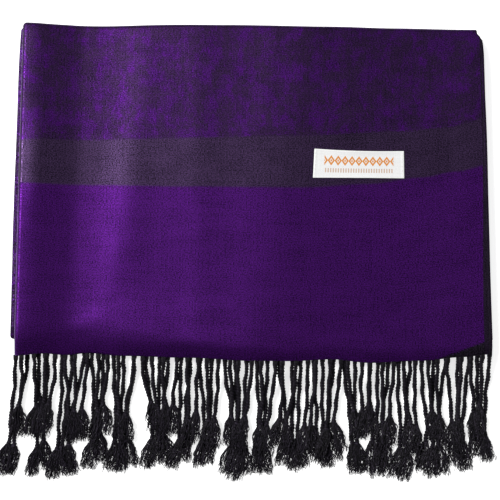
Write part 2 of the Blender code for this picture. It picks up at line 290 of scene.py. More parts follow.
# %% Fine creases of the upper leaf
FINE_CREASES = (
    # from across, from along, to across, to along, half width, height
    (-95.0, -34.0, -93.0, -4.0, 15.0, 0.60),
    (-104.0, 16.0, -101.0, 122.0, 22.0, -0.50),
    (-171.0, 10.0, -171.0, 122.0, 14.0, 0.25),
    (-158.0, 6.0, -157.0, 40.0, 10.0, 1.00),
    (-112.0, -108.0, -100.0, -60.0, 9.0, 0.18),
    (-88.0, 40.0, -80.0, 96.0, 10.0, 0.22),
    (-152.0, 60.0, -150.0, 118.0, 6.0, -0.12),
    (-30.0, -92.0, 26.0, -84.0, 8.0, 0.16),
    (-128.0, -94.0, -40.0, -90.0, 10.0, 0.22),
    (40.0, -88.0, 92.0, -84.0, 9.0, 0.14),
    (6.0, -60.0, 44.0, -56.0, 6.0, 0.12),
    (52.0, -66.0, 128.0, -60.0, 7.0, 0.12),
    (-70.0, -36.0, 0.0, -30.0, 6.0, 0.12),
    (100.0, -118.0, 172.0, -86.0, 12.0, 0.25),
    (120.0, -60.0, 168.0, -20.0, 12.0, 0.16),
    (148.0, 20.0, 158.0, 112.0, 7.0, -0.18),
    (10.0, 62.0, 18.0, 116.0, 7.0, 0.14),
    (-20.0, 98.0, 70.0, 104.0, 6.0, 0.12),
    (60.0, 70.0, 66.0, 118.0, 9.0, -0.14),
    (-160.0, -112.0, -120.0, -100.0, 6.0, 0.16),
)


def fine_creases(x, y):
    """The height that the fine creases add at a place."""
    height = 0.0 * x
    for x_a, y_a, x_b, y_b, half_width, rise in FINE_CREASES:
        length = math.hypot(x_b - x_a, y_b - y_a)
        along_x, along_y = (x_b - x_a) / length, (y_b - y_a) / length
        along = (x - x_a) * along_x + (y - y_a) * along_y
        aside = (x - x_a) * along_y - (y - y_a) * along_x
        beyond = np.maximum(0.0, np.maximum(-along, along - length))
        height = height + rise * hump(aside, half_width) * hump(beyond, 2.0 * half_width)
    return height


print(len(FINE_CREASES), "fine creases")

# %% [markdown]
# ## Where a place lies in the weave
#
# The weft doesn't run quite straight across: towards the right edge it drifts back. The hem and the
# two edges of the dark band all show it. So each place on the cloth also gets a place in the weave,
# in which the hem and the band's edges are straight. It is stored as a UV map, in metres, and the
# materials read it.

# %% The place in the weave
BAND_FRONT = 127.0
BAND_BACK = 161.0
BAND_FRONT_LINE = (
    # across, along
    (-178.0, 4.9),
    (-140.0, 4.4),
    (-40.0, 2.4),
    (40.0, 1.3),
    (90.0, 4.2),
    (128.0, 9.0),
    (155.0, 13.4),
    (178.0, 18.2),
)
BAND_BACK_LINE = (
    # across, along
    (-178.0, 38.0),
    (-140.0, 38.6),
    (40.0, 40.9),
    (110.0, 44.2),
    (150.0, 47.2),
    (166.0, 51.0),
    (178.0, 56.0),
)


def weave_along(x, y):
    """How far along the cloth a place lies, in millimetres from the hem."""
    hem, front, back = hem_at(x), through(BAND_FRONT_LINE, x), through(BAND_BACK_LINE, x)
    plain_end = BAND_FRONT * (y - hem) / (front - hem)
    band = BAND_FRONT + (BAND_BACK - BAND_FRONT) * (y - front) / (back - front)
    field = BAND_BACK + y - back
    return np.where(y < front, plain_end, np.where(y < back, band, field))


print("the weave at the label:", np.round(weave_along(*np.array(LABEL_CENTRE)[:, None]), 1))

# %% [markdown]
# ## Making meshes from grids
#
# Cloth is a thin shell: an upper grid of points, a lower one and a rim that joins them. Numpy makes
# the points in one step, and this helper turns them into a closed mesh with its UV map.

# %% Mesh helpers
def add_mesh(name, points_mm, faces, uv_mm=None, sharp_from=40.0):
    """A smooth-shaded object from points in millimetres, with a UV map in metres."""
    mesh = bpy.data.meshes.new(name)
    mesh.from_pydata(to_model(points_mm).tolist(), [], [tuple(face) for face in faces])
    mesh.shade_smooth()
    mesh.set_sharp_from_angle(angle=math.radians(sharp_from))
    if uv_mm is not None:
        layer = mesh.uv_layers.new(name="Weave")
        corners = np.empty(len(mesh.loops), dtype=np.int32)
        mesh.loops.foreach_get("vertex_index", corners)
        layer.data.foreach_set("uv", (np.asarray(uv_mm)[corners] * MM).ravel())
    made = bpy.data.objects.new(name, mesh)
    bpy.context.scene.collection.objects.link(made)
    triangles = sum(len(polygon.vertices) - 2 for polygon in mesh.polygons)
    print(name, "has", triangles, "triangles")
    return made


def grid_quads(columns, rows, first=0):
    """The quads of a grid of points, listed column by column. They face up."""
    a = (np.arange(columns - 1)[:, None] * rows + np.arange(rows - 1)[None, :]).ravel() + first
    return np.stack([a, a + rows, a + rows + 1, a + 1], axis=1)


def rim_of(columns, rows):
    """The rim of a grid, anticlockwise from its first point."""
    rim = [i * rows for i in range(columns)]
    rim += [(columns - 1) * rows + j for j in range(1, rows)]
    rim += [i * rows + rows - 1 for i in range(columns - 2, -1, -1)]
    rim += [j for j in range(rows - 2, 0, -1)]
    return np.array(rim)


def add_shell(name, upper, lower, uv):
    """A closed shell from two grids of points and the place in the weave of each."""
    columns, rows = upper.shape[:2]
    size = columns * rows
    rim = rim_of(columns, rows)
    ahead = np.roll(rim, -1)
    faces = np.concatenate(
        [
            grid_quads(columns, rows),
            grid_quads(columns, rows, size)[:, ::-1],
            np.stack([rim, rim + size, ahead + size, ahead], axis=1),
        ]
    )
    points = np.concatenate([upper.reshape(-1, 3), lower.reshape(-1, 3)])
    return add_mesh(name, points, faces, np.concatenate([uv.reshape(-1, 2)] * 2))


# %% [markdown]
# ## The upper leaf
#
# This is the front half of the fringed end: the patterned field, the dark band and the plain purple
# end. It rolls over the left fold and the back fold. Its cut end has no sewn hem, so it is thin and
# a little rounded. A grid of about a millimetre and a half is fine enough for every crease, and the
# weave itself is left to the material.

# %% Upper leaf
UPPER_FACE = WALL / 2
UPPER_BACK = -0.25
EDGE_ROUNDING = (
    # from the edge, drop of the face
    (0.0, 0.42),
    (0.3, 0.14),
    (0.9, 0.0),
)
GRID_STEP = 1.6
ROLL_STEPS = 12
TINY = 1e-9  # keeps a division by nothing from failing


def edge_drop(distance):
    """How far the face drops near a cut edge."""
    places, drops = np.array(EDGE_ROUNDING).T
    return np.interp(distance, places, drops)


def rolled(x, y, over_left, over_back, side, middle_mm):
    """Points of the upper leaf. over_left and over_back run from 0 to 1 round the two folds."""
    radius = roll_radius(x, y)
    share = np.maximum(over_left, over_back)
    ratio = np.minimum(over_left, over_back) / np.maximum(share, TINY)
    turn = np.where(over_left >= over_back, math.pi / 4 * ratio, math.pi / 2 - math.pi / 4 * ratio)
    corner = np.sin(2.0 * turn)
    angle = share * (ROLL_ANGLE + (CORNER_ROLL_ANGLE - ROLL_ANGLE) * corner)
    reach = radius + side
    out = reach * np.sin(angle)
    return np.stack(
        [x - out * np.cos(turn), y + out * np.sin(turn), middle_mm - radius + reach * np.cos(angle)], axis=-1
    )


def leaf_places(left, right, step, near_edges):
    """Places from left to right, with closer ones at both ends."""
    count = int(round((right - left) / step))
    inner = np.linspace(left, right, count + 1)[1:-1]
    start = [left + place for place in near_edges]
    end = [right - place for place in reversed(near_edges)]
    inner = inner[(inner > start[-1]) & (inner < end[0])]
    return np.array([*start, *inner, *end])


near_edge = [place for place, _ in EDGE_ROUNDING]
flat_x = leaf_places(FLAT_LEFT, UPPER_RIGHT, GRID_STEP, near_edge)
share_y = leaf_places(0.0, PANEL_LENGTH, GRID_STEP, near_edge) / PANEL_LENGTH
roll = np.linspace(1.0, 0.0, ROLL_STEPS + 1)[:-1]

column_x = np.concatenate([np.full(ROLL_STEPS, FLAT_LEFT), flat_x])
column_left = np.concatenate([roll, np.zeros(len(flat_x))])
row_share = np.concatenate([share_y, np.ones(ROLL_STEPS)])
row_back = np.concatenate([np.zeros(len(share_y)), roll[::-1]])

leaf_x = np.repeat(column_x[:, None], len(row_share), axis=1)
leaf_y = hem_at(leaf_x) + row_share[None, :] * (back_at(leaf_x) - hem_at(leaf_x))
over_left = np.repeat(column_left[:, None], len(row_share), axis=1)
over_back = np.repeat(row_back[None, :], len(column_x), axis=0)

leaf_middle = upper_middle(leaf_x, leaf_y) + fine_creases(leaf_x, leaf_y)
face = UPPER_FACE - edge_drop(np.minimum(leaf_y - hem_at(leaf_x), UPPER_RIGHT - leaf_x))
upper = rolled(leaf_x, leaf_y, over_left, over_back, face, leaf_middle)
lower = rolled(leaf_x, leaf_y, over_left, over_back, UPPER_BACK, leaf_middle)
upper[..., 0] -= corner_pull(leaf_x, leaf_y)
lower[..., 0] -= corner_pull(leaf_x, leaf_y)
arc = roll_radius(leaf_x, leaf_y) * ROLL_ANGLE
leaf_uv = np.stack([leaf_x - over_left * arc, weave_along(leaf_x, leaf_y) + over_back * arc], axis=-1)
upper_leaf = add_shell("upper_leaf_cloth", upper, lower, leaf_uv)

# %% [markdown]
# ## The lower leaf
#
# The back half of the fringed end lies under the upper leaf. It shows only as a thin line along the
# right edge and behind the hem, so its grid is coarser. It has the large folds but no fine creases.

# %% Lower leaf
LOWER_STEP = 4.0
LOWER_BACK = -0.45


def set_back_at(x):
    """How far the lower leaf's cut end lies behind the upper leaf's."""
    return SET_BACK * smooth(SET_BACK_FROM, SET_BACK_TO, x)


low_x = leaf_places(FLAT_LEFT + GAP, LOWER_RIGHT, LOWER_STEP, near_edge)
low_share = leaf_places(0.0, PANEL_LENGTH, LOWER_STEP, near_edge) / PANEL_LENGTH
low_x = np.repeat(low_x[:, None], len(low_share), axis=1)
low_hem = hem_at(low_x) + set_back_at(low_x)
low_y = low_hem + low_share[None, :] * (back_at(low_x) - GAP - low_hem)
low_middle = lower_middle(low_x, low_y)
low_face = UPPER_FACE - edge_drop(np.minimum(low_y - low_hem, LOWER_RIGHT - low_x))
low_place = low_x - corner_pull(low_x, low_y)
lower_leaf = add_shell(
    "lower_leaf_cloth",
    np.stack([low_place, low_y, low_middle + low_face], axis=-1),
    np.stack([low_place, low_y, low_middle + LOWER_BACK], axis=-1),
    np.stack([low_x, weave_along(low_x, low_y)], axis=-1),
)

# %% [markdown]
# ## The layers underneath
#
# Fourteen more layers lie under the fringed end, as seven folded pairs. Only their edges show, so
# one closed mesh stands for them: rings of points run round the stack, in and out over each pair's
# soft rounded fold, and the grooves between the pairs are deep and dark. Each pair stands out by its
# own amount, which wanders along the edge, as hand-folded cloth does.

# %% Folded stack
PAIR_EDGES = (
    # left, right, back, front: how far each pair stands out, from the bottom up
    (8.6, 2.6, 1.6, 1.5),
    (9.4, 3.4, 2.2, 2.5),
    (8.8, 2.9, 1.4, 1.8),
    (9.2, 3.6, 1.9, 2.6),
    (7.4, 2.4, 1.2, 1.4),
    (7.9, 3.1, 1.7, 2.0),
    (6.0, 1.9, 1.1, 1.3),
)
STACK_FRONT = 13.5
STACK_FRONT_SKEW = -0.009
STACK_IN = 0.8
STACK_LEAN = 2.2
STACK_LEAN_REACH = 60.0
STACK_LEAN_STEADY = 0.3
STACK_LEAN_LATE = 0.7
STACK_LEAN_POWER = 6
STACK_CORNER = 2.6
STACK_STEP = 2.2
SIDE_X = int(LEAF_WIDTH / STACK_STEP)
SIDE_Y = int((PANEL_LENGTH - STACK_FRONT) / STACK_STEP)
CORNER_STEPS = 6
PAIR_STEPS = 6
GROOVE = 1.9
GROOVE_SHARPNESS = 2.6
WANDER = 0.55
WANDER_WAVES = (2, 3, 5, 8, 13)
WANDER_SCALE = 1.6
STACK_FLOOR = 0.25
STACK_BELOW_LEAF = 0.05
STACK_WEAVE_HEIGHT = 8.0
INNER_RINGS = 10
NO_LENGTH = 1e-6

stack_random = np.random.default_rng(11)


def corner_points(centre, angles):
    """Points of a corner's arc."""
    return np.column_stack(
        [centre[0] + STACK_CORNER * np.cos(angles), centre[1] + STACK_CORNER * np.sin(angles)]
    )


def stack_outline(left, right, back, front):
    """A rounded outline round the stack, with each side moved out by its own amount."""
    x_low, x_high = FLAT_LEFT + GAP - left + STACK_IN, UPPER_RIGHT + right

    def bottom(x):
        return hem_at(np.clip(x, FLAT_LEFT, UPPER_RIGHT)) + STACK_FRONT + STACK_FRONT_SKEW * x - front

    def top(x):
        return back_at(x) - GAP + back

    across = np.linspace(x_low + STACK_CORNER, x_high - STACK_CORNER, SIDE_X + 1)
    up = np.linspace(0.0, 1.0, SIDE_Y + 1)
    arc_steps = np.linspace(0.0, math.pi / 2, CORNER_STEPS + 1)[1:-1]
    right_low, left_low = bottom(x_high) + STACK_CORNER, bottom(x_low) + STACK_CORNER
    right_high, left_high = top(x_high) - STACK_CORNER, top(x_low) - STACK_CORNER
    outline = np.concatenate(
        [
            np.column_stack([across, bottom(across)]),
            corner_points((x_high - STACK_CORNER, right_low), arc_steps - math.pi / 2),
            np.column_stack([np.full(len(up), x_high), right_low + up * (right_high - right_low)]),
            corner_points((x_high - STACK_CORNER, right_high), arc_steps),
            np.column_stack([across[::-1], top(across[::-1])]),
            corner_points((x_low + STACK_CORNER, left_high), arc_steps + math.pi / 2),
            np.column_stack([np.full(len(up), x_low), left_high + up * (left_low - left_high)]),
            corner_points((x_low + STACK_CORNER, left_low), arc_steps + math.pi),
        ]
    )
    far_left = smooth(0.0, STACK_LEAN_REACH, FLAT_LEFT + STACK_LEAN_REACH - outline[:, 0])
    up_left = (outline[:, 1] - HEM_LINE[0][1]) / PANEL_LENGTH
    lean = STACK_LEAN_STEADY * up_left + STACK_LEAN_LATE * up_left**STACK_LEAN_POWER
    outline[:, 0] += STACK_LEAN * far_left * lean
    outline[:, 0] -= corner_pull(outline[:, 0], outline[:, 1])
    return outline


rim_line = stack_outline(0.0, 0.0, 0.0, 0.0)
rim_top = layers_top(np.clip(rim_line[:, 0], FLAT_LEFT, UPPER_RIGHT), rim_line[:, 1])
rim_count = len(rim_line)
rim_step = np.linalg.norm(np.roll(rim_line, -1, axis=0) - rim_line, axis=1)
rim_length = np.concatenate([[0.0], np.cumsum(rim_step)[:-1]])
rim_turn = 2.0 * math.pi * rim_length / rim_step.sum()


def wander(amount):
    """A slow closed wave round the stack, different each time."""
    wave = np.zeros(rim_count)
    for waves in WANDER_WAVES:
        start = stack_random.uniform(0.0, 2.0 * math.pi)
        wave += np.sin(waves * rim_turn + start) / math.sqrt(waves)
    return amount * wave / WANDER_SCALE


rings = []
ring_heights = []
stack_middle = rim_line.mean(axis=0)
for k in range(1, INNER_RINGS + 1):
    inner = stack_middle + (rim_line - stack_middle) * math.sqrt(k / INNER_RINGS)
    place_x = np.clip(inner[:, 0], FLAT_LEFT, UPPER_RIGHT)
    rings.append(np.column_stack([inner, layers_top(place_x, inner[:, 1]) - STACK_BELOW_LEAF]))
    ring_heights.append(1.0)

pairs = len(PAIR_EDGES)
for number in range(pairs - 1, -1, -1):
    outline = stack_outline(*PAIR_EDGES[number])
    outward = outline - rim_line
    outward /= np.maximum(np.linalg.norm(outward, axis=1), NO_LENGTH)[:, None]
    offset = wander(WANDER)
    for step in range(PAIR_STEPS + 1):
        around = step / PAIR_STEPS
        if number == pairs - 1 and step == 0:
            around = 0.5 / PAIR_STEPS
        inward = GROOVE * abs(2.0 * around - 1.0) ** GROOVE_SHARPNESS
        flat = outline + outward * (offset - inward)[:, None]
        level = (number + 1.0 - around) / pairs
        height = STACK_FLOOR + (rim_top - STACK_FLOOR) * level
        rings.append(np.column_stack([flat, height]))
        ring_heights.append(level)

stack_points = np.concatenate(rings)
stack_faces = []
ring_index = np.arange(rim_count)
for k in range(len(rings) - 1):
    a = k * rim_count + ring_index
    b = k * rim_count + np.roll(ring_index, -1)
    stack_faces.append(np.stack([a, a + rim_count, b + rim_count, b], axis=1))
stack_faces = [tuple(face) for face in np.concatenate(stack_faces)]
stack_faces.append(tuple(ring_index))
stack_faces.append(tuple((len(rings) - 1) * rim_count + ring_index[::-1]))
stack_uv = np.concatenate(
    [np.column_stack([rim_length, np.full(rim_count, STACK_WEAVE_HEIGHT * level)]) for level in ring_heights]
)
folded_stack = add_mesh("folded_stack", stack_points, stack_faces, stack_uv)

# %% [markdown]
# ## The label
#
# A small tape of white satin is sewn on near the dark band. Its points are those of the leaf's face,
# moved out, so it follows the folds. All four edges are a little thicker, as on a woven tape whose
# ends are turned under.

# %% Label tape
LABEL_SIZE = (67.6, 21.6)
LABEL_CORNERS = (
    # front left, front right, back left, back right
    ((47.1, 8.3), (115.5, 8.0)),
    ((48.4, 30.5), (115.6, 28.8)),
)
LABEL_CELLS = (134, 43)
LABEL_LIFT = 0.35
LABEL_THICKNESS = 0.55
LABEL_BORDER = 1.1
LABEL_BORDER_BLUR = 0.3
LABEL_BORDER_RISE = 0.16
LABEL_END = 2.0
LABEL_END_BLUR = 0.4
LABEL_ROUNDING = 0.25
LABEL_ROUNDING_REACH = 0.35
LABEL_BOW = 0.9
LABEL_CURL = 0.5
LABEL_CURL_FROM = 0.55
LABEL_CURL_AT = 6.0
LABEL_CURL_WIDTH = 24.0


def on_label(u, v, lift):
    """Points of the label, at u along it and v up it from its middle, lifted off the leaf's face."""
    across, up = u / LABEL_SIZE[0] + 0.5, v / LABEL_SIZE[1] + 0.5
    front, back = np.array(LABEL_CORNERS)
    x = (1 - up) * (front[0, 0] + across * (front[1, 0] - front[0, 0]))
    x = x + up * (back[0, 0] + across * (back[1, 0] - back[0, 0]))
    y = (1 - up) * (front[0, 1] + across * (front[1, 1] - front[0, 1]))
    y = y + up * (back[0, 1] + across * (back[1, 1] - back[0, 1]) - LABEL_BOW * np.sin(math.pi * across))
    z = upper_middle(x, y) + fine_creases(x, y) + UPPER_FACE + lift
    return np.stack([x, y, z], axis=-1)


label_u, label_v = np.meshgrid(
    np.linspace(-0.5, 0.5, LABEL_CELLS[0] + 1) * LABEL_SIZE[0],
    np.linspace(-0.5, 0.5, LABEL_CELLS[1] + 1) * LABEL_SIZE[1],
    indexing="ij",
)
from_side = LABEL_SIZE[1] / 2 - np.abs(label_v)
from_end = LABEL_SIZE[0] / 2 - np.abs(label_u)
border = np.maximum(
    1.0 - smooth(LABEL_BORDER - LABEL_BORDER_BLUR, LABEL_BORDER, from_side),
    1.0 - smooth(LABEL_END - LABEL_END_BLUR, LABEL_END, from_end),
)
rounding = LABEL_ROUNDING * hump(np.minimum(from_side, from_end), LABEL_ROUNDING_REACH)
curl = LABEL_CURL * smooth(LABEL_CURL_FROM, 1.0, np.abs(label_v) / (LABEL_SIZE[1] / 2))
curl = curl * hump(label_u - LABEL_CURL_AT, LABEL_CURL_WIDTH)
label_face = LABEL_LIFT + LABEL_THICKNESS + LABEL_BORDER_RISE * border - rounding + curl
label_tape = add_shell(
    "label_tape",
    on_label(label_u, label_v, label_face),
    on_label(label_u, label_v, LABEL_LIFT + curl),
    np.stack([label_u, label_v], axis=-1),
)

# %% [markdown]
# ## Tubes
#
# Stitches, knots and the yarns of the brush ends are all thin tubes along a line of points. These
# helpers make many of them at once: each point needs a direction along the line, and two more at
# right angles to it.

# %% Tube helper
def line_frames(lines):
    """For lines of points, the direction along each and two directions across it."""
    along = np.gradient(lines, axis=1)
    along /= np.maximum(np.linalg.norm(along, axis=2, keepdims=True), TINY)
    aside = np.cross(along, (0.0, 0.0, 1.0))
    aside /= np.maximum(np.linalg.norm(aside, axis=2, keepdims=True), TINY)
    return along, aside, np.cross(aside, along)


def tube_faces(lines, points, sides):
    """The faces of closed tubes, for lines x points x sides of ring points."""
    ring = np.arange(sides)
    start = (np.arange(lines)[:, None] * points + np.arange(points - 1)[None, :]).ravel() * sides
    a = start[:, None] + ring
    b = start[:, None] + np.roll(ring, -1)
    walls = np.stack([a, b, b + sides, a + sides], axis=2).reshape(-1, 4)
    first = np.arange(lines)[:, None] * points * sides + ring
    last = first + (points - 1) * sides
    return [tuple(face) for block in (walls, first[:, ::-1], last) for face in block]


def tube_points(lines, radius, sides):
    """Ring points round each point of each line."""
    _, aside, up = line_frames(lines)
    angle = 2.0 * math.pi * np.arange(sides) / sides
    radius = np.broadcast_to(radius, lines.shape[:2])[:, :, None, None]
    across = aside[:, :, None, :] * np.cos(angle)[None, None, :, None]
    across = across + up[:, :, None, :] * np.sin(angle)[None, None, :, None]
    return lines[:, :, None, :] + radius * across


# %% [markdown]
# ## The label's stitches
#
# Each short end of the label is held by a row of small hand stitches in white thread, which dip
# into the tape at both ends.

# %% Label stitches
STITCH_LENGTH = 2.0
STITCH_PITCH = 3.1
STITCH_RADIUS = 0.14
STITCH_FROM_END = 1.3
STITCH_COUNT = 6
STITCH_POINTS = 7
STITCH_SIDES = 6
STITCH_WAVER = 0.15
STITCH_WAVER_TURN = 5.0
STITCH_ARCH = 0.16
STITCH_SINK = 0.10
THREAD_WEAVE = 20.0

stitches = []
t = np.linspace(-0.5, 0.5, STITCH_POINTS)
lift = LABEL_LIFT + LABEL_THICKNESS + LABEL_BORDER_RISE + STITCH_ARCH * np.cos(math.pi * t) - STITCH_SINK
for end in (-1.0, 1.0):
    for k in range(STITCH_COUNT):
        v = (k - (STITCH_COUNT - 1) / 2) * STITCH_PITCH
        u = end * (LABEL_SIZE[0] / 2 - STITCH_FROM_END) + STITCH_WAVER * math.sin(STITCH_WAVER_TURN * k + end)
        stitches.append(on_label(np.full(STITCH_POINTS, u), v + t * STITCH_LENGTH, lift))
stitches = np.array(stitches)
thread_along = np.repeat(np.linspace(0.0, THREAD_WEAVE, len(stitches) * STITCH_POINTS), STITCH_SIDES)
label_stitches = add_mesh(
    "label_stitches",
    tube_points(stitches, STITCH_RADIUS, STITCH_SIDES).reshape(-1, 3),
    tube_faces(len(stitches), STITCH_POINTS, STITCH_SIDES),
    np.column_stack([thread_along, np.zeros(len(thread_along))]),
)

# %% [markdown]
# ## The fringe's routes
#
# The warp runs on past the cloth's end. Bundles of it are twisted into cords, each cord is knotted,
# and its end is left as a brush. There are two rows, because both leaves of the fringed end have
# one: the upper leaf's is shorter and lies over the lower leaf's. Cords gather into tassels, so each
# tassel has a row in a table, and a function leads every cord from its root to its tip.

# %% Fringe routes
STRIP_WIDTH = 1.4
ROOT_WANDER = 1.7
BRUSH_LENGTH = 21.0
GATHER_REACH = 54.0
GATHER_PITCH = 3.6
GATHER_BIAS = 0.78
SETTLE_REACH = 32.0
TIP_DROP = 0.4
SPREAD_FROM = 0.55
DROP_FROM = 1.3
SWAY = 0.7
SWAY_TURN_PER_MM = 0.039
LENGTH_STAGGER = 2.6
STAGGER_TURN = 2.4
STAGGER_START = 0.7

WIGGLES = (
    # length of a bend, reach
    (34.0, 0.40),
    (17.0, 0.24),
    (8.0, 0.12),
)
WIGGLE_FROM = 6.0

UPPER_ROW = {"first_root": -168.4, "last_root": 170.5, "rest": 3.6}
LOWER_ROW = {"first_root": -173.4, "last_root": 176.2, "rest": 1.4}
fringe_random = np.random.default_rng(5)
UPPER_TASSELS = (
    # strands, tip across, tip pitch, tip along
    (1, -171.0, 5.0, -184.0),
    (3, -153.5, 5.2, -182.5),
    (3, -128.0, 5.0, -186.0),
    (2, -110.5, 5.2, -183.5),
    (2, -94.5, 5.0, -187.0),
    (4, -64.0, 5.0, -182.0),
    (2, -43.5, 5.2, -189.0),
    (2, -29.5, 5.6, -191.0),
    (3, -10.0, 5.4, -192.0),
    (2, 9.5, 5.4, -195.0),
    (2, 24.0, 5.6, -193.5),
    (2, 42.5, 5.2, -197.0),
    (2, 59.0, 10.5, -196.0),
    (3, 83.0, 5.0, -184.0),
    (2, 99.0, 5.8, -191.5),
    (2, 119.5, 5.2, -195.0),
    (2, 137.0, 5.4, -188.5),
    (2, 150.5, 5.6, -194.0),
    (2, 167.5, 5.2, -184.0),
)
LOWER_TASSELS = (
    # strands, tip across, tip pitch, tip along
    (2, -177.0, 5.4, -211.0),
    (2, -154.0, 10.5, -210.0),
    (3, -138.0, 5.2, -211.5),
    (2, -112.5, 8.5, -204.0),
    (3, -95.0, 6.0, -207.5),
    (3, -68.0, 7.5, -203.5),
    (2, -51.0, 7.5, -204.0),
    (2, -32.5, 7.0, -203.0),
    (3, -9.5, 6.4, -212.0),
    (2, 7.5, 6.6, -208.5),
    (3, 32.0, 7.2, -206.0),
    (3, 54.0, 7.6, -203.0),
    (2, 77.5, 5.4, -208.5),
    (3, 94.0, 6.2, -209.5),
    (2, 111.5, 6.4, -212.5),
    (3, 133.0, 7.6, -210.5),
    (2, 153.5, 6.8, -205.5),
    (2, 170.0, 6.2, -200.0),
)


def strip_middle(x, y, row):
    """The height where a cord leaves its leaf, also where the leaf rolls over the left fold."""
    inside = np.maximum(x, FLAT_LEFT)
    middle_of = upper_middle if row is UPPER_ROW else lower_middle
    radius = roll_radius(inside, y)
    over = np.minimum(np.maximum(FLAT_LEFT - x, 0.0), radius)
    sign = 1.0 if row is UPPER_ROW else -1.0
    turned = upper_middle(inside, y) - radius + sign * np.sqrt(radius**2 - over**2)
    return np.where(x < FLAT_LEFT, turned, middle_of(inside, y))


def cord_table(tassels, row):
    """Each cord's root, gathering place and tip, as arrays, and a phase for its sway."""
    total = sum(tassel[0] for tassel in tassels)
    pitch = (row["last_root"] - row["first_root"]) / (total - 1)
    root, gather, tip_across, tip_along, phase = [], [], [], [], []
    for count, tip_x, tip_pitch, tip_y in tassels:
        roots = [row["first_root"] + pitch * (len(root) + k) for k in range(count)]
        middle_root = sum(roots) / count
        for k, root_x in enumerate(roots):
            side = k - (count - 1) / 2
            stagger = LENGTH_STAGGER * math.sin(STAGGER_TURN * len(root) + STAGGER_START)
            gather.append(middle_root + (tip_x - middle_root) * GATHER_BIAS + side * GATHER_PITCH)
            tip_across.append(tip_x + side * tip_pitch)
            tip_along.append(tip_y + stagger)
            phase.append(SWAY_TURN_PER_MM * tip_x)
            root.append(root_x)
    cords = {"root": root, "gather": gather, "tip_x": tip_across, "tip_y": tip_along, "phase": phase}
    cords = {name: np.array(values)[:, None] for name, values in cords.items()}
    inner = fringe_random.uniform(-ROOT_WANDER, ROOT_WANDER, (total - 2, 1))
    cords["root"][1:-1] += inner
    cords["bends"] = fringe_random.uniform(0.0, 2.0 * math.pi, (len(WIGGLES), total, 1))
    return cords


def cord_place(cords, row, share):
    """Each cord's place at each share: below 0 in the cloth, to 1 along the cord, to 2 in the brush."""
    root_x = cords["root"]
    edge = hem_at(root_x) + (set_back_at(root_x) if row is LOWER_ROW else 0.0)
    root_y = edge - GAP - STRIP_WIDTH
    root_z = strip_middle(root_x, edge, row)
    knot_y = cords["tip_y"] + BRUSH_LENGTH
    y = np.where(
        share <= 1.0,
        root_y + (knot_y - root_y) * share,
        knot_y + (cords["tip_y"] - knot_y) * (share - 1.0),
    )
    down = root_y - y
    x = root_x + (cords["gather"] - root_x) * smooth(0.0, GATHER_REACH, down)
    x = x + (cords["tip_x"] - cords["gather"]) * smooth(SPREAD_FROM, 2.0, share)
    x = x + SWAY * np.sin(cords["phase"] + math.pi * share) * smooth(0.0, 1.0, share) * (2.0 - share)
    for (length, reach), start in zip(WIGGLES, cords["bends"]):
        x = x + reach * smooth(0.0, WIGGLE_FROM, down) * np.sin(2.0 * math.pi * down / length + start)
    settle = np.clip(1.0 - down / SETTLE_REACH, 0.0, 1.0)
    z = row["rest"] + (root_z - row["rest"]) * settle**2 - TIP_DROP * smooth(DROP_FROM, 2.0, share)
    return np.stack([x, y, z], axis=-1)


upper_cords = cord_table(UPPER_TASSELS, UPPER_ROW)
lower_cords = cord_table(LOWER_TASSELS, LOWER_ROW)
print(len(upper_cords["root"]), "cords over", len(lower_cords["root"]))

# %% [markdown]
# ## Cords and knots
#
# A fringe cord is two bundles of yarn twisted round each other. Seen end on, that is two circles
# side by side, and the twist turns the pair as it goes along. So the cord is one tube whose outline
# is that pair, turned a little more at each step. At the cloth it is still flat and untwisted,
# because there its yarns lie side by side. The knot is a short tight coil of the same cord.

# %% Cords and knots
CORD_STEP = 0.48
CORD_SIDES = 12
PLY_RADIUS = 1.28
PLY_OFFSET = 0.50
TWIST_LENGTH = 4.4
TWIST_FROM = 1.0
CORD_PHASE = 4.0 * math.pi
FLAT_REACH = 3.5
FLAT_HEIGHT = 0.42
ROOT_INSIDE = 2.6
SLACK = 0.10
SLACK_TURN_PER_MM = 0.35
SLACK_START = 3.0
CORD_FLOOR = 0.05
KNOT_TURNS = 1.75
KNOT_START = 4.0
KNOT_RADIUS = 1.2
KNOT_ENDS = 0.55
KNOT_LENGTH = 2.8
KNOT_BACK = 0.3
KNOT_AHEAD = 0.02
KNOT_TILT = 0.55
KNOT_FLATNESS = 0.8
KNOT_YARN = 0.85
KNOT_LIFT = 0.25
KNOT_STEPS = 26
KNOT_SIDES = 7
KNOT_WEAVE = 12.0
CORD_SHARP_FROM = 70.0


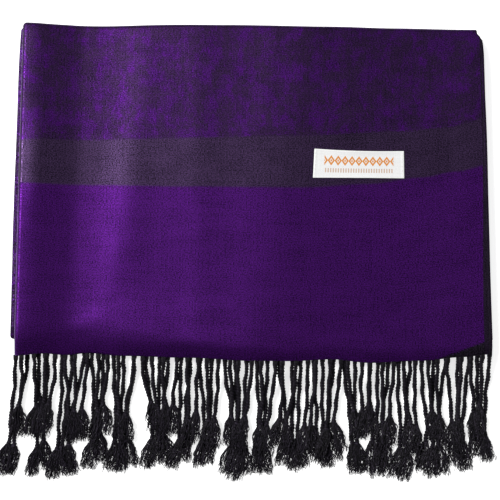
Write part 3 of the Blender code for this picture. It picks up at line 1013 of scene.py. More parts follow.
def add_cords(name, cords, row):
    """The cords of one row with their knots, as one mesh."""
    length = hem_at(cords["root"]) - (cords["tip_y"] + BRUSH_LENGTH)
    steps = int(length.max() / CORD_STEP)
    share = np.linspace(0.0, 1.0, steps)[None, :] * (1.0 + ROOT_INSIDE / length) - ROOT_INSIDE / length
    line = cord_place(cords, row, share)
    down = share * length
    _, aside, up = line_frames(line)
    twisted = smooth(0.0, FLAT_REACH, down)
    start = fringe_random.uniform(0.0, math.pi, len(line))[:, None]
    turn = start * twisted + 2.0 * math.pi * np.maximum(down - TWIST_FROM, 0.0) / TWIST_LENGTH
    angle = 2.0 * math.pi * np.arange(CORD_SIDES) / CORD_SIDES
    outline = PLY_OFFSET * np.abs(np.cos(angle)) + np.sqrt(PLY_RADIUS**2 - (PLY_OFFSET * np.sin(angle)) ** 2)
    turned = angle + (turn * twisted)[:, :, None]
    wide = 1.0 + SLACK * np.sin(SLACK_TURN_PER_MM * down + SLACK_START * start)
    high = (FLAT_HEIGHT + (1.0 - FLAT_HEIGHT) * twisted) * wide
    across = (wide[:, :, None] * outline * np.cos(turned))[:, :, :, None] * aside[:, :, None, :]
    across = across + (high[:, :, None] * outline * np.sin(turned))[:, :, :, None] * up[:, :, None, :]
    points = line[:, :, None, :] + across
    points[..., 2] = np.maximum(points[..., 2], CORD_FLOOR)
    faces = tube_faces(len(line), steps, CORD_SIDES)
    uv_along = np.repeat(down.ravel(), CORD_SIDES)
    uv_phase = np.repeat(CORD_PHASE * np.arange(len(line)), steps * CORD_SIDES)
    uv_round = np.tile(angle, len(line) * steps) + uv_phase

    knot_share = 1.0 - KNOT_BACK * KNOT_LENGTH / length
    centre = cord_place(cords, row, np.concatenate([knot_share, knot_share + KNOT_AHEAD], axis=1))
    heading, side, over = (direction[:, :1] for direction in line_frames(centre))
    t = np.linspace(0.0, 1.0, KNOT_STEPS)
    coil = (2.0 * math.pi * KNOT_TURNS * t[None, :] + KNOT_START * start)[:, :, None]
    swell = KNOT_RADIUS * (KNOT_ENDS + (1.0 - KNOT_ENDS) * np.sin(math.pi * t))[None, :, None]
    forward = (KNOT_LENGTH * (t - 0.5))[None, :, None]
    knots = (
        centre[:, :1]
        + heading * (forward + KNOT_TILT * np.sin(coil))
        + side * swell * np.cos(coil)
        + over * swell * np.sin(coil) * KNOT_FLATNESS
    )
    knots[:, :, 2] = np.maximum(knots[:, :, 2], KNOT_YARN + KNOT_LIFT)
    knot_points = tube_points(knots, KNOT_YARN, KNOT_SIDES)
    every_point = np.concatenate([points.reshape(-1, 3), knot_points.reshape(-1, 3)])
    first = points.size // 3
    knot_faces = [tuple(np.array(face) + first) for face in tube_faces(len(knots), KNOT_STEPS, KNOT_SIDES)]
    knot_along = np.tile(np.repeat(t * KNOT_WEAVE, KNOT_SIDES), len(knots))
    knot_round = np.tile(np.arange(KNOT_SIDES) / KNOT_SIDES, len(knots) * KNOT_STEPS)
    uv = np.column_stack([np.append(uv_along, knot_along), np.append(uv_round, knot_round)])
    return add_mesh(name, every_point, faces + knot_faces, uv, CORD_SHARP_FROM)


cords_upper = add_cords("fringe_cords_upper", upper_cords, UPPER_ROW)
cords_lower = add_cords("fringe_cords_lower", lower_cords, LOWER_ROW)

# %% [markdown]
# ## Brush ends
#
# Below its knot each cord is untwisted, and its yarns spread into a brush. Every yarn keeps some of
# the twist as a kink. Each brush leans and opens a little differently, and the random numbers come
# from a seeded generator, so the result is the same each time.

# %% Brush ends
BRUSH_YARNS = 58
BRUSH_STEPS = 12
BRUSH_SIDES = 3
BRUSH_REACH = 0.76
BRUSH_REACH_SPREAD = 0.28
BRUSH_REACH_POWER = 0.4
BRUSH_START = 1.7
BRUSH_OPEN = 3.6
BRUSH_OPEN_SPREAD = 0.25
BRUSH_OPENS_FROM = -0.08
BRUSH_OPENS_TO = 0.42
BRUSH_CLOSES = 0.12
BRUSH_LEAN = 1.8
BRUSH_DEPTH = 1.0
BRUSH_DEEPENS = 0.5
BRUSH_FLOOR = 0.3
YARN_RADIUS = 0.36
YARN_TAPER = 0.4
KINK = 0.95
KINK_TURNS = (1.4, 3.8)
KINK_ALONG = 0.7
KINK_UP = 0.5
STRAY = 0.3
STRAY_LIMIT = 1.6
CURL_SHARE = 0.5
CURL_REACH = 2.2
CURL_FROM = 0.55
CURL_BACK = 0.8
BRUSH_WEAVE = (60.0, 77.0)
YARN_WEAVE_STEP = 1.7
BRUSH_SHARP_FROM = 80.0


def add_brushes(name, cords, row):
    """The brush ends of one row, as one mesh."""
    count = len(cords["root"])
    shape = (count, BRUSH_YARNS, 1)
    t = np.linspace(0.0, 1.0, BRUSH_STEPS)[None, None, :]
    reach = fringe_random.uniform(0.0, 1.0, shape) ** BRUSH_REACH_POWER * BRUSH_REACH_SPREAD + BRUSH_REACH
    lean = fringe_random.normal(0.0, BRUSH_LEAN, (count, 1, 1))
    opening = fringe_random.uniform(1.0 - BRUSH_OPEN_SPREAD, 1.0 + BRUSH_OPEN_SPREAD, (count, 1, 1))
    opening = opening * BRUSH_OPEN
    across = fringe_random.uniform(-1.0, 1.0, shape)
    height = fringe_random.uniform(-1.0, 1.0, shape)
    share = 1.0 + t * reach
    line = cord_place(cords, row, share.reshape(count, -1)).reshape(count, BRUSH_YARNS, BRUSH_STEPS, 3)
    beyond = np.maximum(share - 2.0, 0.0) * BRUSH_LENGTH
    open_t = smooth(BRUSH_OPENS_FROM, BRUSH_OPENS_TO, t) * (1.0 - BRUSH_CLOSES * t)
    kink_start = fringe_random.uniform(0.0, 2.0 * math.pi, shape)
    kink_turns = fringe_random.uniform(*KINK_TURNS, shape)
    kink = KINK * np.sqrt(t) * np.sin(kink_start + 2.0 * math.pi * kink_turns * t)
    stray = np.clip(fringe_random.normal(0.0, 1.0, shape) ** 3 * STRAY, -STRAY_LIMIT, STRAY_LIMIT)
    curls = fringe_random.uniform(0.0, 1.0, shape) < CURL_SHARE
    curl = curls * fringe_random.uniform(-CURL_REACH, CURL_REACH, shape) * smooth(CURL_FROM, 1.0, t)
    x = line[..., 0] + across * (BRUSH_START + opening * open_t) + lean * t**1.5 + kink
    x = x + stray * t**2 + curl
    y = line[..., 1] - beyond + kink * KINK_ALONG + CURL_BACK * np.abs(curl) * t
    z = line[..., 2] + height * BRUSH_DEPTH * (1.0 + BRUSH_DEEPENS * open_t) + KINK_UP * kink
    z = np.maximum(z, YARN_RADIUS + BRUSH_FLOOR)
    lines = np.stack([x, y, z], axis=-1).reshape(-1, BRUSH_STEPS, 3)
    radius = YARN_RADIUS * (1.0 - YARN_TAPER * np.linspace(0.0, 1.0, BRUSH_STEPS) ** 3)[None, :]
    points = tube_points(lines, radius, BRUSH_SIDES).reshape(-1, 3)
    faces = tube_faces(len(lines), BRUSH_STEPS, BRUSH_SIDES)
    uv_along = np.repeat(np.tile(np.linspace(*BRUSH_WEAVE, BRUSH_STEPS), len(lines)), BRUSH_SIDES)
    uv_yarn = np.repeat(np.arange(len(lines)) * YARN_WEAVE_STEP, BRUSH_STEPS * BRUSH_SIDES)
    return add_mesh(name, points, faces, np.column_stack([uv_along, uv_yarn]), BRUSH_SHARP_FROM)


brushes_upper = add_brushes("fringe_brushes_upper", upper_cords, UPPER_ROW)
brushes_lower = add_brushes("fringe_brushes_lower", lower_cords, LOWER_ROW)

# %% [markdown]
# ## Working with shader nodes
#
# Every finish below is made of nodes. A few small helpers keep that readable: they add a node and
# fill its inputs, do a sum, make a smooth step or a noise, and mix two colours. A group is a small
# machine of nodes with named inputs and outputs, which several materials can share.

# %% Node helpers
def add_node(tree, kind, inputs=None, **settings):
    """Adds a node. An input is given as a value or as another node's output."""
    made = tree.nodes.new(kind)
    for name, value in settings.items():
        setattr(made, name, value)
    for name, value in (inputs or {}).items():
        if isinstance(value, bpy.types.NodeSocket):
            tree.links.new(value, made.inputs[name])
        else:
            made.inputs[name].default_value = value
    return made


def vector_sum(tree, operation, vector, other):
    """One sum with vectors. SCALE takes a number as its other value."""
    slot = "Scale" if operation == "SCALE" else 1
    return add_node(tree, "ShaderNodeVectorMath", {0: vector, slot: other}, operation=operation).outputs[0]


def parts_of(tree, vector):
    """A vector's parts, as outputs named X, Y and Z."""
    return add_node(tree, "ShaderNodeSeparateXYZ", {0: vector}).outputs


def noise_of(tree, vector, scale, **inputs):
    """A flat noise, from 0 to 1."""
    inputs = {"Vector": vector, "Scale": scale, **inputs}
    return add_node(tree, "ShaderNodeTexNoise", inputs, noise_dimensions="2D").outputs["Fac"]


def sum_of(tree, operation, a, b=0.0, c=0.0):
    """One sum: a Math node's output."""
    return add_node(tree, "ShaderNodeMath", {0: a, 1: b, 2: c}, operation=operation).outputs[0]


def step_between(tree, value, low, high):
    """0 where value is below low, 1 above high, and smooth between."""
    inputs = {"Value": value, "From Min": low, "From Max": high}
    return add_node(tree, "ShaderNodeMapRange", inputs, interpolation_type="SMOOTHSTEP").outputs["Result"]


def mix_colours(tree, mask, a, b):
    """Colour a where the mask is 0, and colour b where it is 1."""
    mixed = add_node(tree, "ShaderNodeMix", {0: mask, 6: a, 7: b}, data_type="RGBA")
    return mixed.outputs[2]


def new_group(name, inputs, outputs):
    """An empty node group with named inputs and outputs, and its two end nodes."""
    tree = bpy.data.node_groups.new(name, "ShaderNodeTree")
    for label, kind, value in inputs:
        socket = tree.interface.new_socket(name=label, in_out="INPUT", socket_type=kind)
        if value is not None:
            socket.default_value = value
    for label, kind in outputs:
        tree.interface.new_socket(name=label, in_out="OUTPUT", socket_type=kind)
    return tree, tree.nodes.new("NodeGroupInput"), tree.nodes.new("NodeGroupOutput")


def use_group(tree, group, inputs):
    """A node that places a group in a material."""
    return add_node(tree, "ShaderNodeGroup", inputs, node_tree=group)


def new_material(name):
    """A material, its nodes, its shader and the place in the weave."""
    material = bpy.data.materials.new(name)
    material.use_nodes = True
    tree = material.node_tree
    weave = add_node(tree, "ShaderNodeUVMap", uv_map="Weave").outputs["UV"]
    return material, tree, tree.nodes["Principled BSDF"], weave


def add_bump(tree, shader, height, strength, distance):
    """Raises the surface by a height, so that it catches the light."""
    bump = add_node(tree, "ShaderNodeBump", {"Height": height, "Strength": strength, "Distance": distance})
    tree.links.new(bump.outputs[0], shader.inputs["Normal"])


# %% [markdown]
# ## Twill
#
# The cloth is a fine twill: the weft passes over two warp yarns and under one, a step further along
# in each row, so the surface has slanting ribs. Two waves do it: one across the slant makes the
# ribs, and one along the cloth breaks them into rows of weft. The group gives the height of the
# surface and a mask of where the dark warp shows between the purple weft.

# %% Twill group
VALUE = "NodeSocketFloat"
VECTOR = "NodeSocketVector"
METRES_TO_MM = 1000.0
TWILL_PITCH = 0.5
TWILL_SLANT = 0.62
TWILL_UNEVENNESS = 0.5
UNEVEN_SCALE = 0.55
PICK_HEIGHT = 0.35
TWILL_DEPTH = 0.37
WARP_SHOWS_FROM = 0.1
WARP_SHOWS_TO = -1.1

twill, ends, out = new_group(
    "Fine Twill",
    [
        ("Weave", VECTOR, None),
        ("Rib Pitch", VALUE, TWILL_PITCH),
        ("Slant", VALUE, TWILL_SLANT),
        ("Unevenness", VALUE, TWILL_UNEVENNESS),
    ],
    [("Height", VALUE), ("Warp Shows", VALUE)],
)
mm = vector_sum(twill, "SCALE", ends.outputs["Weave"], METRES_TO_MM)
place = parts_of(twill, mm)
uneven = noise_of(twill, mm, UNEVEN_SCALE, Detail=2.0)
shift = sum_of(twill, "MULTIPLY", uneven, ends.outputs["Unevenness"])
slanted = sum_of(twill, "MULTIPLY_ADD", place["Y"], ends.outputs["Slant"], place["X"])
slanted = sum_of(twill, "ADD", slanted, shift)
ribs = sum_of(twill, "DIVIDE", slanted, ends.outputs["Rib Pitch"])
ribs = sum_of(twill, "SINE", sum_of(twill, "MULTIPLY", ribs, 2.0 * math.pi))
picks = sum_of(twill, "DIVIDE", place["Y"], ends.outputs["Rib Pitch"])
picks = sum_of(twill, "SINE", sum_of(twill, "MULTIPLY", picks, 4.0 * math.pi))
height = sum_of(twill, "MULTIPLY_ADD", picks, PICK_HEIGHT, ribs)
twill.links.new(sum_of(twill, "MULTIPLY_ADD", height, TWILL_DEPTH, 0.5), out.inputs["Height"])
warp_shows = step_between(twill, height, WARP_SHOWS_FROM, WARP_SHOWS_TO)
twill.links.new(warp_shows, out.inputs["Warp Shows"])
print("twill ribs at", TWILL_PITCH, "mm")

# %% [markdown]
# ## Uneven yarn
#
# No two yarns took the dye alike. Long thin streaks along the weft and along the warp, and a soft
# mottle over both, keep a plain woven surface from looking printed.

# %% Yarn streaks group
STREAKS = (
    # input, stretch across, stretch along, strength
    ("Weft Streaks", 0.02, 1.0, 1.0),
    ("Warp Streaks", 1.0, 0.018, 1.0),
    ("Grain", 0.95, 1.6, 4.7),
    ("Mottle", 0.045, 0.085, 1.0),
)

streaks, ends, out = new_group(
    "Uneven Yarn",
    [
        ("Weave", VECTOR, None),
        ("Weft Streaks", VALUE, 1.0),
        ("Warp Streaks", VALUE, 1.0),
        ("Grain", VALUE, 1.0),
        ("Mottle", VALUE, 0.0),
    ],
    [("Tone", VALUE)],
)
mm = vector_sum(streaks, "SCALE", ends.outputs["Weave"], METRES_TO_MM)
total = 0.0
for label, stretch_x, stretch_y, strength in STREAKS:
    stretched = vector_sum(streaks, "MULTIPLY", mm, (stretch_x, stretch_y, 1.0))
    noise = noise_of(streaks, stretched, 1.0, Detail=3.0, Roughness=0.6)
    centred = sum_of(streaks, "MULTIPLY", sum_of(streaks, "SUBTRACT", noise, 0.5), strength)
    total = sum_of(streaks, "MULTIPLY_ADD", centred, ends.outputs[label], total)
streaks.links.new(sum_of(streaks, "ADD", total, 0.5), out.inputs["Tone"])
print(len(STREAKS), "kinds of unevenness")

# %% [markdown]
# ## The woven field
#
# Past the dark band the cloth is patterned all over with small leaves and curling stems, in purple
# on a dark ground. The leaves are scattered at the points of a Voronoi texture: its position output
# gives each point, and its colour gives each leaf its own angle. The stems are the contour lines of
# a slow noise, which curl as drawn scrolls do. A fine grain breaks both up, because the yarns are
# coarse against so small a pattern.

# %% Scroll field group
LEAF_SPACING = 11.0
LEAF_LENGTH = 4.6
LEAF_TURN = 1.1
LEAF_BEND = 0.05
LEAF_FATNESS = 0.33
LEAF_EDGE = (-0.25, 0.35)
VEIN_WIDTH = 0.28
VEIN_DEPTH = 0.6
STEM_BLUR = 0.03
STEMS = (
    # scale, distortion, contour
    (0.075, 0.8, 0.47),
    (0.105, 1.3, 0.56),
    (0.23, 1.2, 0.50),
    (0.31, 1.6, 0.46),
)
GRAIN_STRETCH = (1.0, 0.7, 1.0)
PATCH_SCALE = 0.085
PATCH_STEP = (0.40, 0.70)
FLECK_SCALE = 0.75
FLECK_STEP = (0.40, 0.62)
PATCH_SHARE = 0.48
SHAPE_IN_PATCH = 0.42
SHAPE_SHARE = 0.34
FLECK_SHARE = 0.24

field, ends, out = new_group(
    "Leaf and Scroll Field",
    [
        ("Weave", VECTOR, None),
        ("Leaf Spacing", VALUE, LEAF_SPACING),
        ("Leaf Length", VALUE, LEAF_LENGTH),
        ("Stem Width", VALUE, 0.05),
        ("Grain", VALUE, 1.0),
    ],
    [("Purple", VALUE)],
)
mm = vector_sum(field, "SCALE", ends.outputs["Weave"], METRES_TO_MM)
spaced = sum_of(field, "DIVIDE", 1.0, ends.outputs["Leaf Spacing"])
scatter = add_node(field, "ShaderNodeTexVoronoi", {"Vector": mm, "Scale": spaced}, voronoi_dimensions="2D")
leaf_point = vector_sum(field, "SCALE", scatter.outputs["Position"], ends.outputs["Leaf Spacing"])
from_point = vector_sum(field, "SUBTRACT", mm, leaf_point)
chance = parts_of(field, scatter.outputs["Color"])["X"]
angle = sum_of(field, "MULTIPLY_ADD", chance, 2.0 * LEAF_TURN, -LEAF_TURN)
turn_by = {"Vector": from_point, "Angle": angle}
turned = add_node(field, "ShaderNodeVectorRotate", turn_by, rotation_type="Z_AXIS")
leaf = parts_of(field, turned.outputs[0])
bent = sum_of(field, "MULTIPLY", sum_of(field, "POWER", leaf["Y"], 2.0), LEAF_BEND)
leaf_aside = sum_of(field, "ABSOLUTE", sum_of(field, "ADD", leaf["X"], bent))
leaf_along = sum_of(field, "DIVIDE", leaf["Y"], ends.outputs["Leaf Length"])
taper = sum_of(field, "SUBTRACT", 1.0, sum_of(field, "POWER", sum_of(field, "ABSOLUTE", leaf_along), 2.0))
leaf_width = sum_of(field, "MULTIPLY", taper, ends.outputs["Leaf Length"])
leaf_width = sum_of(field, "MULTIPLY", leaf_width, LEAF_FATNESS)
leaf_mask = step_between(field, sum_of(field, "SUBTRACT", leaf_width, leaf_aside), *LEAF_EDGE)
vein = step_between(field, leaf_aside, 0.0, VEIN_WIDTH)
vein_tone = sum_of(field, "MULTIPLY_ADD", vein, VEIN_DEPTH, 1.0 - VEIN_DEPTH)
leaf_mask = sum_of(field, "MULTIPLY", leaf_mask, vein_tone)

stem_mask = None
for scale, distortion, contour in STEMS:
    slow = noise_of(field, mm, scale, Detail=0.0, Distortion=distortion)
    apart = sum_of(field, "ABSOLUTE", sum_of(field, "SUBTRACT", slow, contour))
    near = sum_of(field, "SUBTRACT", ends.outputs["Stem Width"], apart)
    line = step_between(field, near, 0.0, STEM_BLUR)
    stem_mask = line if stem_mask is None else sum_of(field, "MAXIMUM", stem_mask, line)
shape_mask = sum_of(field, "MAXIMUM", leaf_mask, stem_mask)

tall = vector_sum(field, "MULTIPLY", mm, GRAIN_STRETCH)
patches = noise_of(field, tall, PATCH_SCALE, Detail=4.0, Roughness=0.68)
patch = step_between(field, patches, *PATCH_STEP)
grain = noise_of(field, tall, FLECK_SCALE, Detail=3.0, Roughness=0.7)
fleck = step_between(field, grain, *FLECK_STEP)
flecks = sum_of(field, "MULTIPLY", fleck, ends.outputs["Grain"])
filled = sum_of(field, "MULTIPLY_ADD", shape_mask, SHAPE_IN_PATCH, PATCH_SHARE)
filled = sum_of(field, "MULTIPLY", patch, filled)
drawn = sum_of(field, "MULTIPLY_ADD", shape_mask, SHAPE_SHARE, filled)
purple = sum_of(field, "MULTIPLY_ADD", flecks, FLECK_SHARE, drawn)
field.links.new(sum_of(field, "MINIMUM", purple, 1.0), out.inputs["Purple"])
print("leaves about", LEAF_SPACING, "mm apart,", len(STEMS), "sets of stems")

# %% [markdown]
# ## Silky cloth
#
# All the cloth is one weave in three finishes: the plain purple end, the dark band and the patterned
# field. Silk reflects light in the colour of its own yarn, which a partly metallic shader does well,
# while its roughness keeps the shine soft. The masks come from the place in the weave, so the band
# follows the drifting weft. The selvedge along the right edge is dark and widens towards the hem, and
# in the front right corner the weft is missing, so bare warp shows. Along the whole cut end a thin
# strip has the same dark colour: partly frayed warp, partly painted shade where the edge rounds down.
# The folded layers underneath are darker all over: partly the reverse of the weave, where more dark
# warp shows, and partly painted shade on their stacked edges.

# %% Cloth materials
PURPLE = (0.052, 0.0054, 0.117, 1.0)
DARK_WARP = (0.019, 0.0040, 0.040, 1.0)
# Dark warp colours for the bare front right corner and for a thin strip along the whole cut end; the strip is
# partly frayed warp, partly painted shade where the edge rounds down.
BARE_WARP_AND_EDGE_SHADE = (0.004, 0.0032, 0.006, 1.0)
BARE_WARP_AND_EDGE_SHADE_LIGHT = (0.026, 0.018, 0.034, 1.0)
BAND_DARK = (0.029, 0.0155, 0.044, 1.0)
BAND_LIGHT = (0.041, 0.0215, 0.062, 1.0)
FIELD_GROUND = (0.0235, 0.0112, 0.0345, 1.0)
FIELD_PURPLE = (0.055, 0.0050, 0.132, 1.0)
# The folded layers' colours are darker than the field's: partly the reverse of the weave, where more dark
# warp shows, and partly painted shade on the stacked edges.
SHADED_REVERSE_GROUND = (0.012, 0.0062, 0.018, 1.0)
SHADED_REVERSE_PURPLE = (0.032, 0.0036, 0.076, 1.0)
SELVEDGE = (0.019, 0.0110, 0.027, 1.0)
FRAY_AND_SHADE_AT_HEM = 0.2
BARE_CORNER = 8.5
BARE_CORNER_FROM = 132.0
RAGGED_EDGE = 1.2
BAND_FRONT_BLUR = 1.1
BAND_BACK_BLUR = 1.6
SELVEDGE_AT_BACK = 1.4
SELVEDGE_AT_HEM = 4.2
SELVEDGE_WIDENS = (150.0, 20.0)
SELVEDGE_BLUR = 0.3
WARP_SHOWS = 0.45
BAND_GLOSS = 0.03
FIELD_GLOSS = -0.02
CLOTH_ROUGHNESS = 0.44
ROUGHNESS_BY_TONE = 0.14
CLOTH_METALLIC = 0.88
CLOTH_SPECULAR = 0.26
SHADE_RANGE = 1.15
DARKEST_SHADE = 0.15
CLOTH_TWILL = {"Rib Pitch": TWILL_PITCH, "Slant": TWILL_SLANT, "Unevenness": TWILL_UNEVENNESS}
CLOTH_YARN = {"Weft Streaks": 0.6, "Warp Streaks": 0.5, "Grain": 1.0, "Mottle": 0.55}
CLOTH_FIELD = {"Leaf Spacing": LEAF_SPACING, "Leaf Length": LEAF_LENGTH, "Stem Width": 0.028, "Grain": 1.0}
BARE_YARN = {"Weft Streaks": 0.0, "Warp Streaks": 3.0, "Grain": 0.5}


def add_cloth(name, right_edge=None, ground=FIELD_GROUND, purple=FIELD_PURPLE):
    """The shawl's cloth: patterned all over, or its end, with the band and the selvedge at right_edge."""
    material, tree, shader, weave = new_material(name)
    ribs = use_group(tree, twill, {"Weave": weave, **CLOTH_TWILL})
    tone = use_group(tree, streaks, {"Weave": weave, **CLOTH_YARN}).outputs["Tone"]
    scroll = use_group(tree, field, {"Weave": weave, **CLOTH_FIELD})
    colour = mix_colours(tree, scroll.outputs["Purple"], ground, purple)
    rough = sum_of(tree, "MULTIPLY_ADD", tone, -ROUGHNESS_BY_TONE, CLOTH_ROUGHNESS + ROUGHNESS_BY_TONE / 2)
    if right_edge is not None:
        place = parts_of(tree, weave)
        along = sum_of(tree, "MULTIPLY", place["Y"], METRES_TO_MM)
        across = sum_of(tree, "MULTIPLY", place["X"], METRES_TO_MM)
        ragged = sum_of(tree, "MULTIPLY_ADD", tone, RAGGED_EDGE, along)
        past_front = step_between(tree, ragged, BAND_FRONT, BAND_FRONT + BAND_FRONT_BLUR)
        past_back = step_between(tree, ragged, BAND_BACK, BAND_BACK + BAND_BACK_BLUR)
        shows = sum_of(tree, "MULTIPLY", ribs.outputs["Warp Shows"], WARP_SHOWS)
        plain = mix_colours(tree, shows, PURPLE, DARK_WARP)
        band = mix_colours(tree, tone, BAND_DARK, BAND_LIGHT)
        colour = mix_colours(tree, past_back, mix_colours(tree, past_front, plain, band), colour)
        rough = sum_of(tree, "MULTIPLY_ADD", past_front, -BAND_GLOSS, rough)
        rough = sum_of(tree, "MULTIPLY_ADD", past_back, BAND_GLOSS - FIELD_GLOSS, rough)
        # Bare warp in the front right corner; along the rest of the cut end a thin strip of it, partly frayed
        # warp and partly painted shade where the edge rounds down.
        corner = step_between(tree, across, BARE_CORNER_FROM, right_edge)
        bare_and_shade_reach = sum_of(tree, "MULTIPLY_ADD", corner, BARE_CORNER, FRAY_AND_SHADE_AT_HEM)
        bare_warp_and_edge_shade = step_between(tree, sum_of(tree, "SUBTRACT", ragged, bare_and_shade_reach), 1.0, 0.0)
        bundles = use_group(tree, streaks, {"Weave": weave, **BARE_YARN}).outputs["Tone"]
        colour = mix_colours(tree, bare_warp_and_edge_shade, colour, mix_colours(tree, bundles, BARE_WARP_AND_EDGE_SHADE, BARE_WARP_AND_EDGE_SHADE_LIGHT))
        hemward = step_between(tree, along, *SELVEDGE_WIDENS)
        width = sum_of(tree, "MULTIPLY_ADD", hemward, SELVEDGE_AT_HEM - SELVEDGE_AT_BACK, SELVEDGE_AT_BACK)
        from_middle = sum_of(tree, "ADD", across, width)
        edge = step_between(tree, from_middle, right_edge - SELVEDGE_BLUR, right_edge + SELVEDGE_BLUR)
        colour = mix_colours(tree, edge, colour, SELVEDGE)
    shade = sum_of(tree, "MULTIPLY_ADD", tone, SHADE_RANGE, 1.0 - SHADE_RANGE / 2)
    shade = sum_of(tree, "MAXIMUM", shade, DARKEST_SHADE)
    tree.links.new(vector_sum(tree, "SCALE", colour, shade), shader.inputs["Base Color"])
    add_bump(tree, shader, ribs.outputs["Height"], strength=0.3, distance=0.00007)
    tree.links.new(rough, shader.inputs["Roughness"])
    shader.inputs["Metallic"].default_value = CLOTH_METALLIC
    shader.inputs["Specular IOR Level"].default_value = CLOTH_SPECULAR
    return material


upper_cloth = add_cloth("silky_cloth", UPPER_RIGHT)
lower_cloth = add_cloth("silky_cloth_under", LOWER_RIGHT)
stack_cloth = add_cloth("silky_cloth_folded", None, SHADED_REVERSE_GROUND, SHADED_REVERSE_PURPLE)
upper_leaf.data.materials.append(upper_cloth)
lower_leaf.data.materials.append(lower_cloth)
folded_stack.data.materials.append(stack_cloth)
print("three cloth materials share", len(bpy.data.node_groups), "groups")

# %% [markdown]
# ## The label's finish
#
# The tape is white satin with an orange woven ornament: a chain of lozenges with a row of small
# dashes under it. It is a plain traditional border, drawn with sums on the label's own UV map. A
# lozenge is where the distances along and up add to less than a size.

# %% Label ornament group
CHAIN_PITCH = 5.2
CHAIN_HEIGHT = 3.8
CHAIN_HALF_LENGTH = 26.0
CHAIN_UP = 2.6
DASH_UP = -5.0
DASH_HALF_PITCH = 0.95
DASH_WIDTH = (0.52, 0.38)
DASH_HEIGHT = (1.75, 1.55)
LOZENGE_EDGES = (
    # where the outer, the hollow and the middle lozenge begin and are full
    (1.10, 1.02),
    (0.54, 0.46),
    (0.32, 0.24),
)

ornament, ends, out = new_group(
    "Lozenge Chain",
    [
        ("Weave", VECTOR, None),
        ("Pitch", VALUE, CHAIN_PITCH),
        ("Height", VALUE, CHAIN_HEIGHT),
        ("Length", VALUE, CHAIN_HALF_LENGTH),
    ],
    [("Chain", VALUE), ("Dashes", VALUE)],
)
place = parts_of(ornament, vector_sum(ornament, "SCALE", ends.outputs["Weave"], METRES_TO_MM))


def distance_up(from_up):
    """How far a place lies above or below a line along the label."""
    return sum_of(ornament, "ABSOLUTE", sum_of(ornament, "SUBTRACT", place["Y"], from_up))


to_end = sum_of(ornament, "SUBTRACT", ends.outputs["Length"], sum_of(ornament, "ABSOLUTE", place["X"]))
inside_length = step_between(ornament, to_end, 0.0, 0.2)
half_pitch = sum_of(ornament, "MULTIPLY", ends.outputs["Pitch"], 0.5)
aside = sum_of(ornament, "DIVIDE", sum_of(ornament, "PINGPONG", place["X"], half_pitch), half_pitch)
rise = sum_of(ornament, "DIVIDE", distance_up(CHAIN_UP), ends.outputs["Height"])
lozenge = sum_of(ornament, "ADD", aside, rise)
outer, hollow, seed = (step_between(ornament, lozenge, *edge) for edge in LOZENGE_EDGES)
chain = sum_of(ornament, "MAXIMUM", sum_of(ornament, "SUBTRACT", outer, hollow), seed)
ornament.links.new(sum_of(ornament, "MULTIPLY", chain, inside_length), out.inputs["Chain"])
dash = step_between(ornament, sum_of(ornament, "PINGPONG", place["X"], DASH_HALF_PITCH), *DASH_WIDTH)
dash = sum_of(ornament, "MULTIPLY", dash, step_between(ornament, distance_up(DASH_UP), *DASH_HEIGHT))
ornament.links.new(sum_of(ornament, "MULTIPLY", dash, inside_length), out.inputs["Dashes"])
print("a chain of lozenges, one each", CHAIN_PITCH, "mm")

# %% Label materials
SATIN_WHITE = (0.88, 0.88, 0.88, 1.0)
SATIN_EDGE = (0.94, 0.94, 0.94, 1.0)
ORANGE = (0.74, 0.27, 0.035, 1.0)
PALE_ORANGE = (0.64, 0.44, 0.33, 1.0)
THREAD_DARK = (0.62, 0.60, 0.58, 1.0)
THREAD_LIGHT = (0.90, 0.88, 0.85, 1.0)
SATIN_TWILL = {"Rib Pitch": 0.5, "Slant": 0.25, "Unevenness": 0.2}
SATIN_YARN = {"Weft Streaks": 0.5, "Warp Streaks": 0.5, "Grain": 0.4}
SATIN_CHAIN = {"Pitch": CHAIN_PITCH, "Height": CHAIN_HEIGHT, "Length": CHAIN_HALF_LENGTH}
THREAD_YARN = {"Weft Streaks": 0.3, "Warp Streaks": 0.3, "Grain": 1.0}
ORNAMENT_RISE = 0.8

label_satin, tree, shader, weave = new_material("label_satin")
satin = use_group(tree, twill, {"Weave": weave, **SATIN_TWILL})
tone = use_group(tree, streaks, {"Weave": weave, **SATIN_YARN}).outputs["Tone"]
drawn = use_group(tree, ornament, {"Weave": weave, **SATIN_CHAIN})
place = parts_of(tree, weave)
up = sum_of(tree, "ABSOLUTE", sum_of(tree, "MULTIPLY", place["Y"], METRES_TO_MM))
along = sum_of(tree, "ABSOLUTE", sum_of(tree, "MULTIPLY", place["X"], METRES_TO_MM))
side = step_between(tree, up, LABEL_SIZE[1] / 2 - LABEL_BORDER, LABEL_SIZE[1] / 2 - LABEL_BORDER + 0.2)
end = step_between(tree, along, LABEL_SIZE[0] / 2 - LABEL_END, LABEL_SIZE[0] / 2 - LABEL_END + 0.3)
colour = mix_colours(tree, sum_of(tree, "MAXIMUM", side, end), SATIN_WHITE, SATIN_EDGE)
colour = mix_colours(tree, drawn.outputs["Dashes"], colour, PALE_ORANGE)
colour = mix_colours(tree, drawn.outputs["Chain"], colour, ORANGE)
shade = sum_of(tree, "MULTIPLY_ADD", tone, 0.16, 0.92)
shade = sum_of(tree, "MULTIPLY", shade, sum_of(tree, "MULTIPLY_ADD", satin.outputs["Warp Shows"], -0.08, 1.0))
tree.links.new(vector_sum(tree, "SCALE", colour, shade), shader.inputs["Base Color"])
raised = sum_of(tree, "MULTIPLY_ADD", drawn.outputs["Chain"], ORNAMENT_RISE, satin.outputs["Height"])
add_bump(tree, shader, raised, strength=0.5, distance=0.0001)
tree.links.new(sum_of(tree, "MULTIPLY_ADD", tone, -0.2, 0.6), shader.inputs["Roughness"])
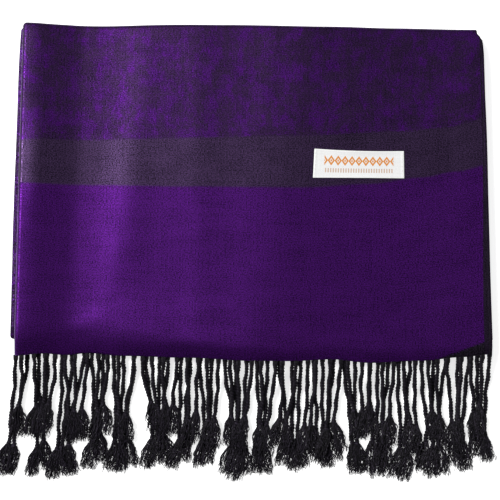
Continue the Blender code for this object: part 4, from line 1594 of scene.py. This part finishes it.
shader.inputs["Sheen Weight"].default_value = 0.15
label_tape.data.materials.append(label_satin)

white_thread, tree, shader, weave = new_material("white_thread")
tone = use_group(tree, streaks, {"Weave": weave, **THREAD_YARN}).outputs["Tone"]
tree.links.new(mix_colours(tree, tone, THREAD_DARK, THREAD_LIGHT), shader.inputs["Base Color"])
add_bump(tree, shader, tone, strength=0.3, distance=0.0001)
shader.inputs["Roughness"].default_value = 0.7
label_stitches.data.materials.append(white_thread)
print("label and thread finished")

# %% [markdown]
# ## The fringe's yarn
#
# The warp is nearly black with a trace of violet, and matt beside the silk. Fine fibres run along
# each cord, so the streaks follow it, and some fibres catch more light than others. On each cord the
# crowns of the two plies are painted lighter and the groove between them darker: painted highlight
# and painted shade. On the brush yarns the same sum gives each yarn a tone of its own.

# %% Fringe material
YARN_DARK = (0.0012, 0.0010, 0.0018, 1.0)
YARN_LIGHT = (0.021, 0.0160, 0.028, 1.0)
FRINGE_YARN = {"Weft Streaks": 1.0, "Warp Streaks": 0.5, "Grain": 1.0}
FIBRES_LIT = (0.2, 0.85)
PAINTED_GROOVE_SHADE = 0.1

fringe_yarn, tree, shader, weave = new_material("fringe_yarn")
tone = use_group(tree, streaks, {"Weave": weave, **FRINGE_YARN}).outputs["Tone"]
fibres = step_between(tree, tone, *FIBRES_LIT)
round_cord = sum_of(tree, "MULTIPLY", parts_of(tree, weave)["Y"], METRES_TO_MM)
# Painted highlight on the crowns of a cord's two plies and painted shade in the groove between them; on a
# brush yarn, a tone of its own.
painted_ply_highlight = sum_of(tree, "ABSOLUTE", sum_of(tree, "COSINE", round_cord))
ply_highlight_and_groove_shade = sum_of(tree, "MULTIPLY_ADD", painted_ply_highlight, 1.0 - PAINTED_GROOVE_SHADE, PAINTED_GROOVE_SHADE)
lit = sum_of(tree, "MULTIPLY", fibres, ply_highlight_and_groove_shade)
tree.links.new(mix_colours(tree, lit, YARN_DARK, YARN_LIGHT), shader.inputs["Base Color"])
add_bump(tree, shader, tone, strength=0.4, distance=0.0002)
tree.links.new(sum_of(tree, "MULTIPLY_ADD", fibres, -0.2, 0.75), shader.inputs["Roughness"])
shader.inputs["Specular IOR Level"].default_value = 0.15
for piece in (cords_upper, cords_lower, brushes_upper, brushes_lower):
    piece.data.materials.append(fringe_yarn)
print("fringe finished")

# %% [markdown]
# ## What each piece is
#
# Every piece rides on the model's one body, and the solid whose place it takes is hidden.

# %% Bodies and the solids they take the place of
PIECES = (
    # piece, finish, solid that it stands for
    (upper_leaf, "shawl_cloth", "upper_leaf"),
    (lower_leaf, "shawl_underside", "lower_leaf"),
    (folded_stack, "shawl_underside", "folded_layers"),
    (label_tape, "label_tape", "label"),
    (label_stitches, "label_tape", None),
    (cords_upper, "fringe_cord", "fringe_upper"),
    (cords_lower, "fringe_cord", "fringe_lower"),
    (brushes_upper, "fringe_cord", None),
    (brushes_lower, "fringe_cord", None),
)
for piece, finish, solid in PIECES:
    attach(piece, "root")
    if solid:
        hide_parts(solid)

print(len(PIECES), "pieces ride on the root body")

# %% [markdown]
# ## Surface and light
#
# The shawl lies on a plain pale surface. A soft light stands high and far off at the left and
# behind, as a window would, so the left fold and the broad ridge shine and the trough between them
# stays dark. A weaker one stands at the right. The surface itself glows a little, as paper on a light
# table does, which keeps the shadows as pale as they are in the picture.

# %% Stage and light
FLOOR_SIZE = 60.0
FLOOR_GLOW = 0.7
WORLD_LIGHT = 0.2
WHITE = (1.0, 1.0, 1.0, 1.0)

bpy.ops.mesh.primitive_plane_add(size=FLOOR_SIZE, location=(0.0, 0.0, 0.0))
floor = bpy.context.object
floor.name = "pale_surface"
pale = bpy.data.materials.new("pale_surface")
pale.use_nodes = True
shader = pale.node_tree.nodes["Principled BSDF"]
shader.inputs["Base Color"].default_value = (0.93, 0.93, 0.93, 1.0)
shader.inputs["Roughness"].default_value = 0.9
shader.inputs["Specular IOR Level"].default_value = 0.1
shader.inputs["Emission Color"].default_value = WHITE
shader.inputs["Emission Strength"].default_value = FLOOR_GLOW
floor.data.materials.append(pale)

LIGHTS = (
    # name, place in metres, size, power
    ("window", (-2.1, 1.1, 2.75), 1.3, 138.0),
    ("far wall", (2.0, 0.8, 2.9), 1.6, 12.0),
)
for name, place, size, power in LIGHTS:
    data = bpy.data.lights.new(name, "AREA")
    data.size = size
    data.energy = power
    lamp = bpy.data.objects.new(name, data)
    lamp.location = place
    direction = -lamp.location
    lamp.rotation_euler = direction.to_track_quat("-Z", "Y").to_euler()
    bpy.context.scene.collection.objects.link(lamp)

world = bpy.data.worlds.new("pale_room")
world.use_nodes = True
background = world.node_tree.nodes["Background"]
background.inputs["Color"].default_value = WHITE
background.inputs["Strength"].default_value = WORLD_LIGHT
bpy.context.scene.world = world
bpy.context.scene.view_settings.view_transform = "Standard"
print(len(LIGHTS), "lights")
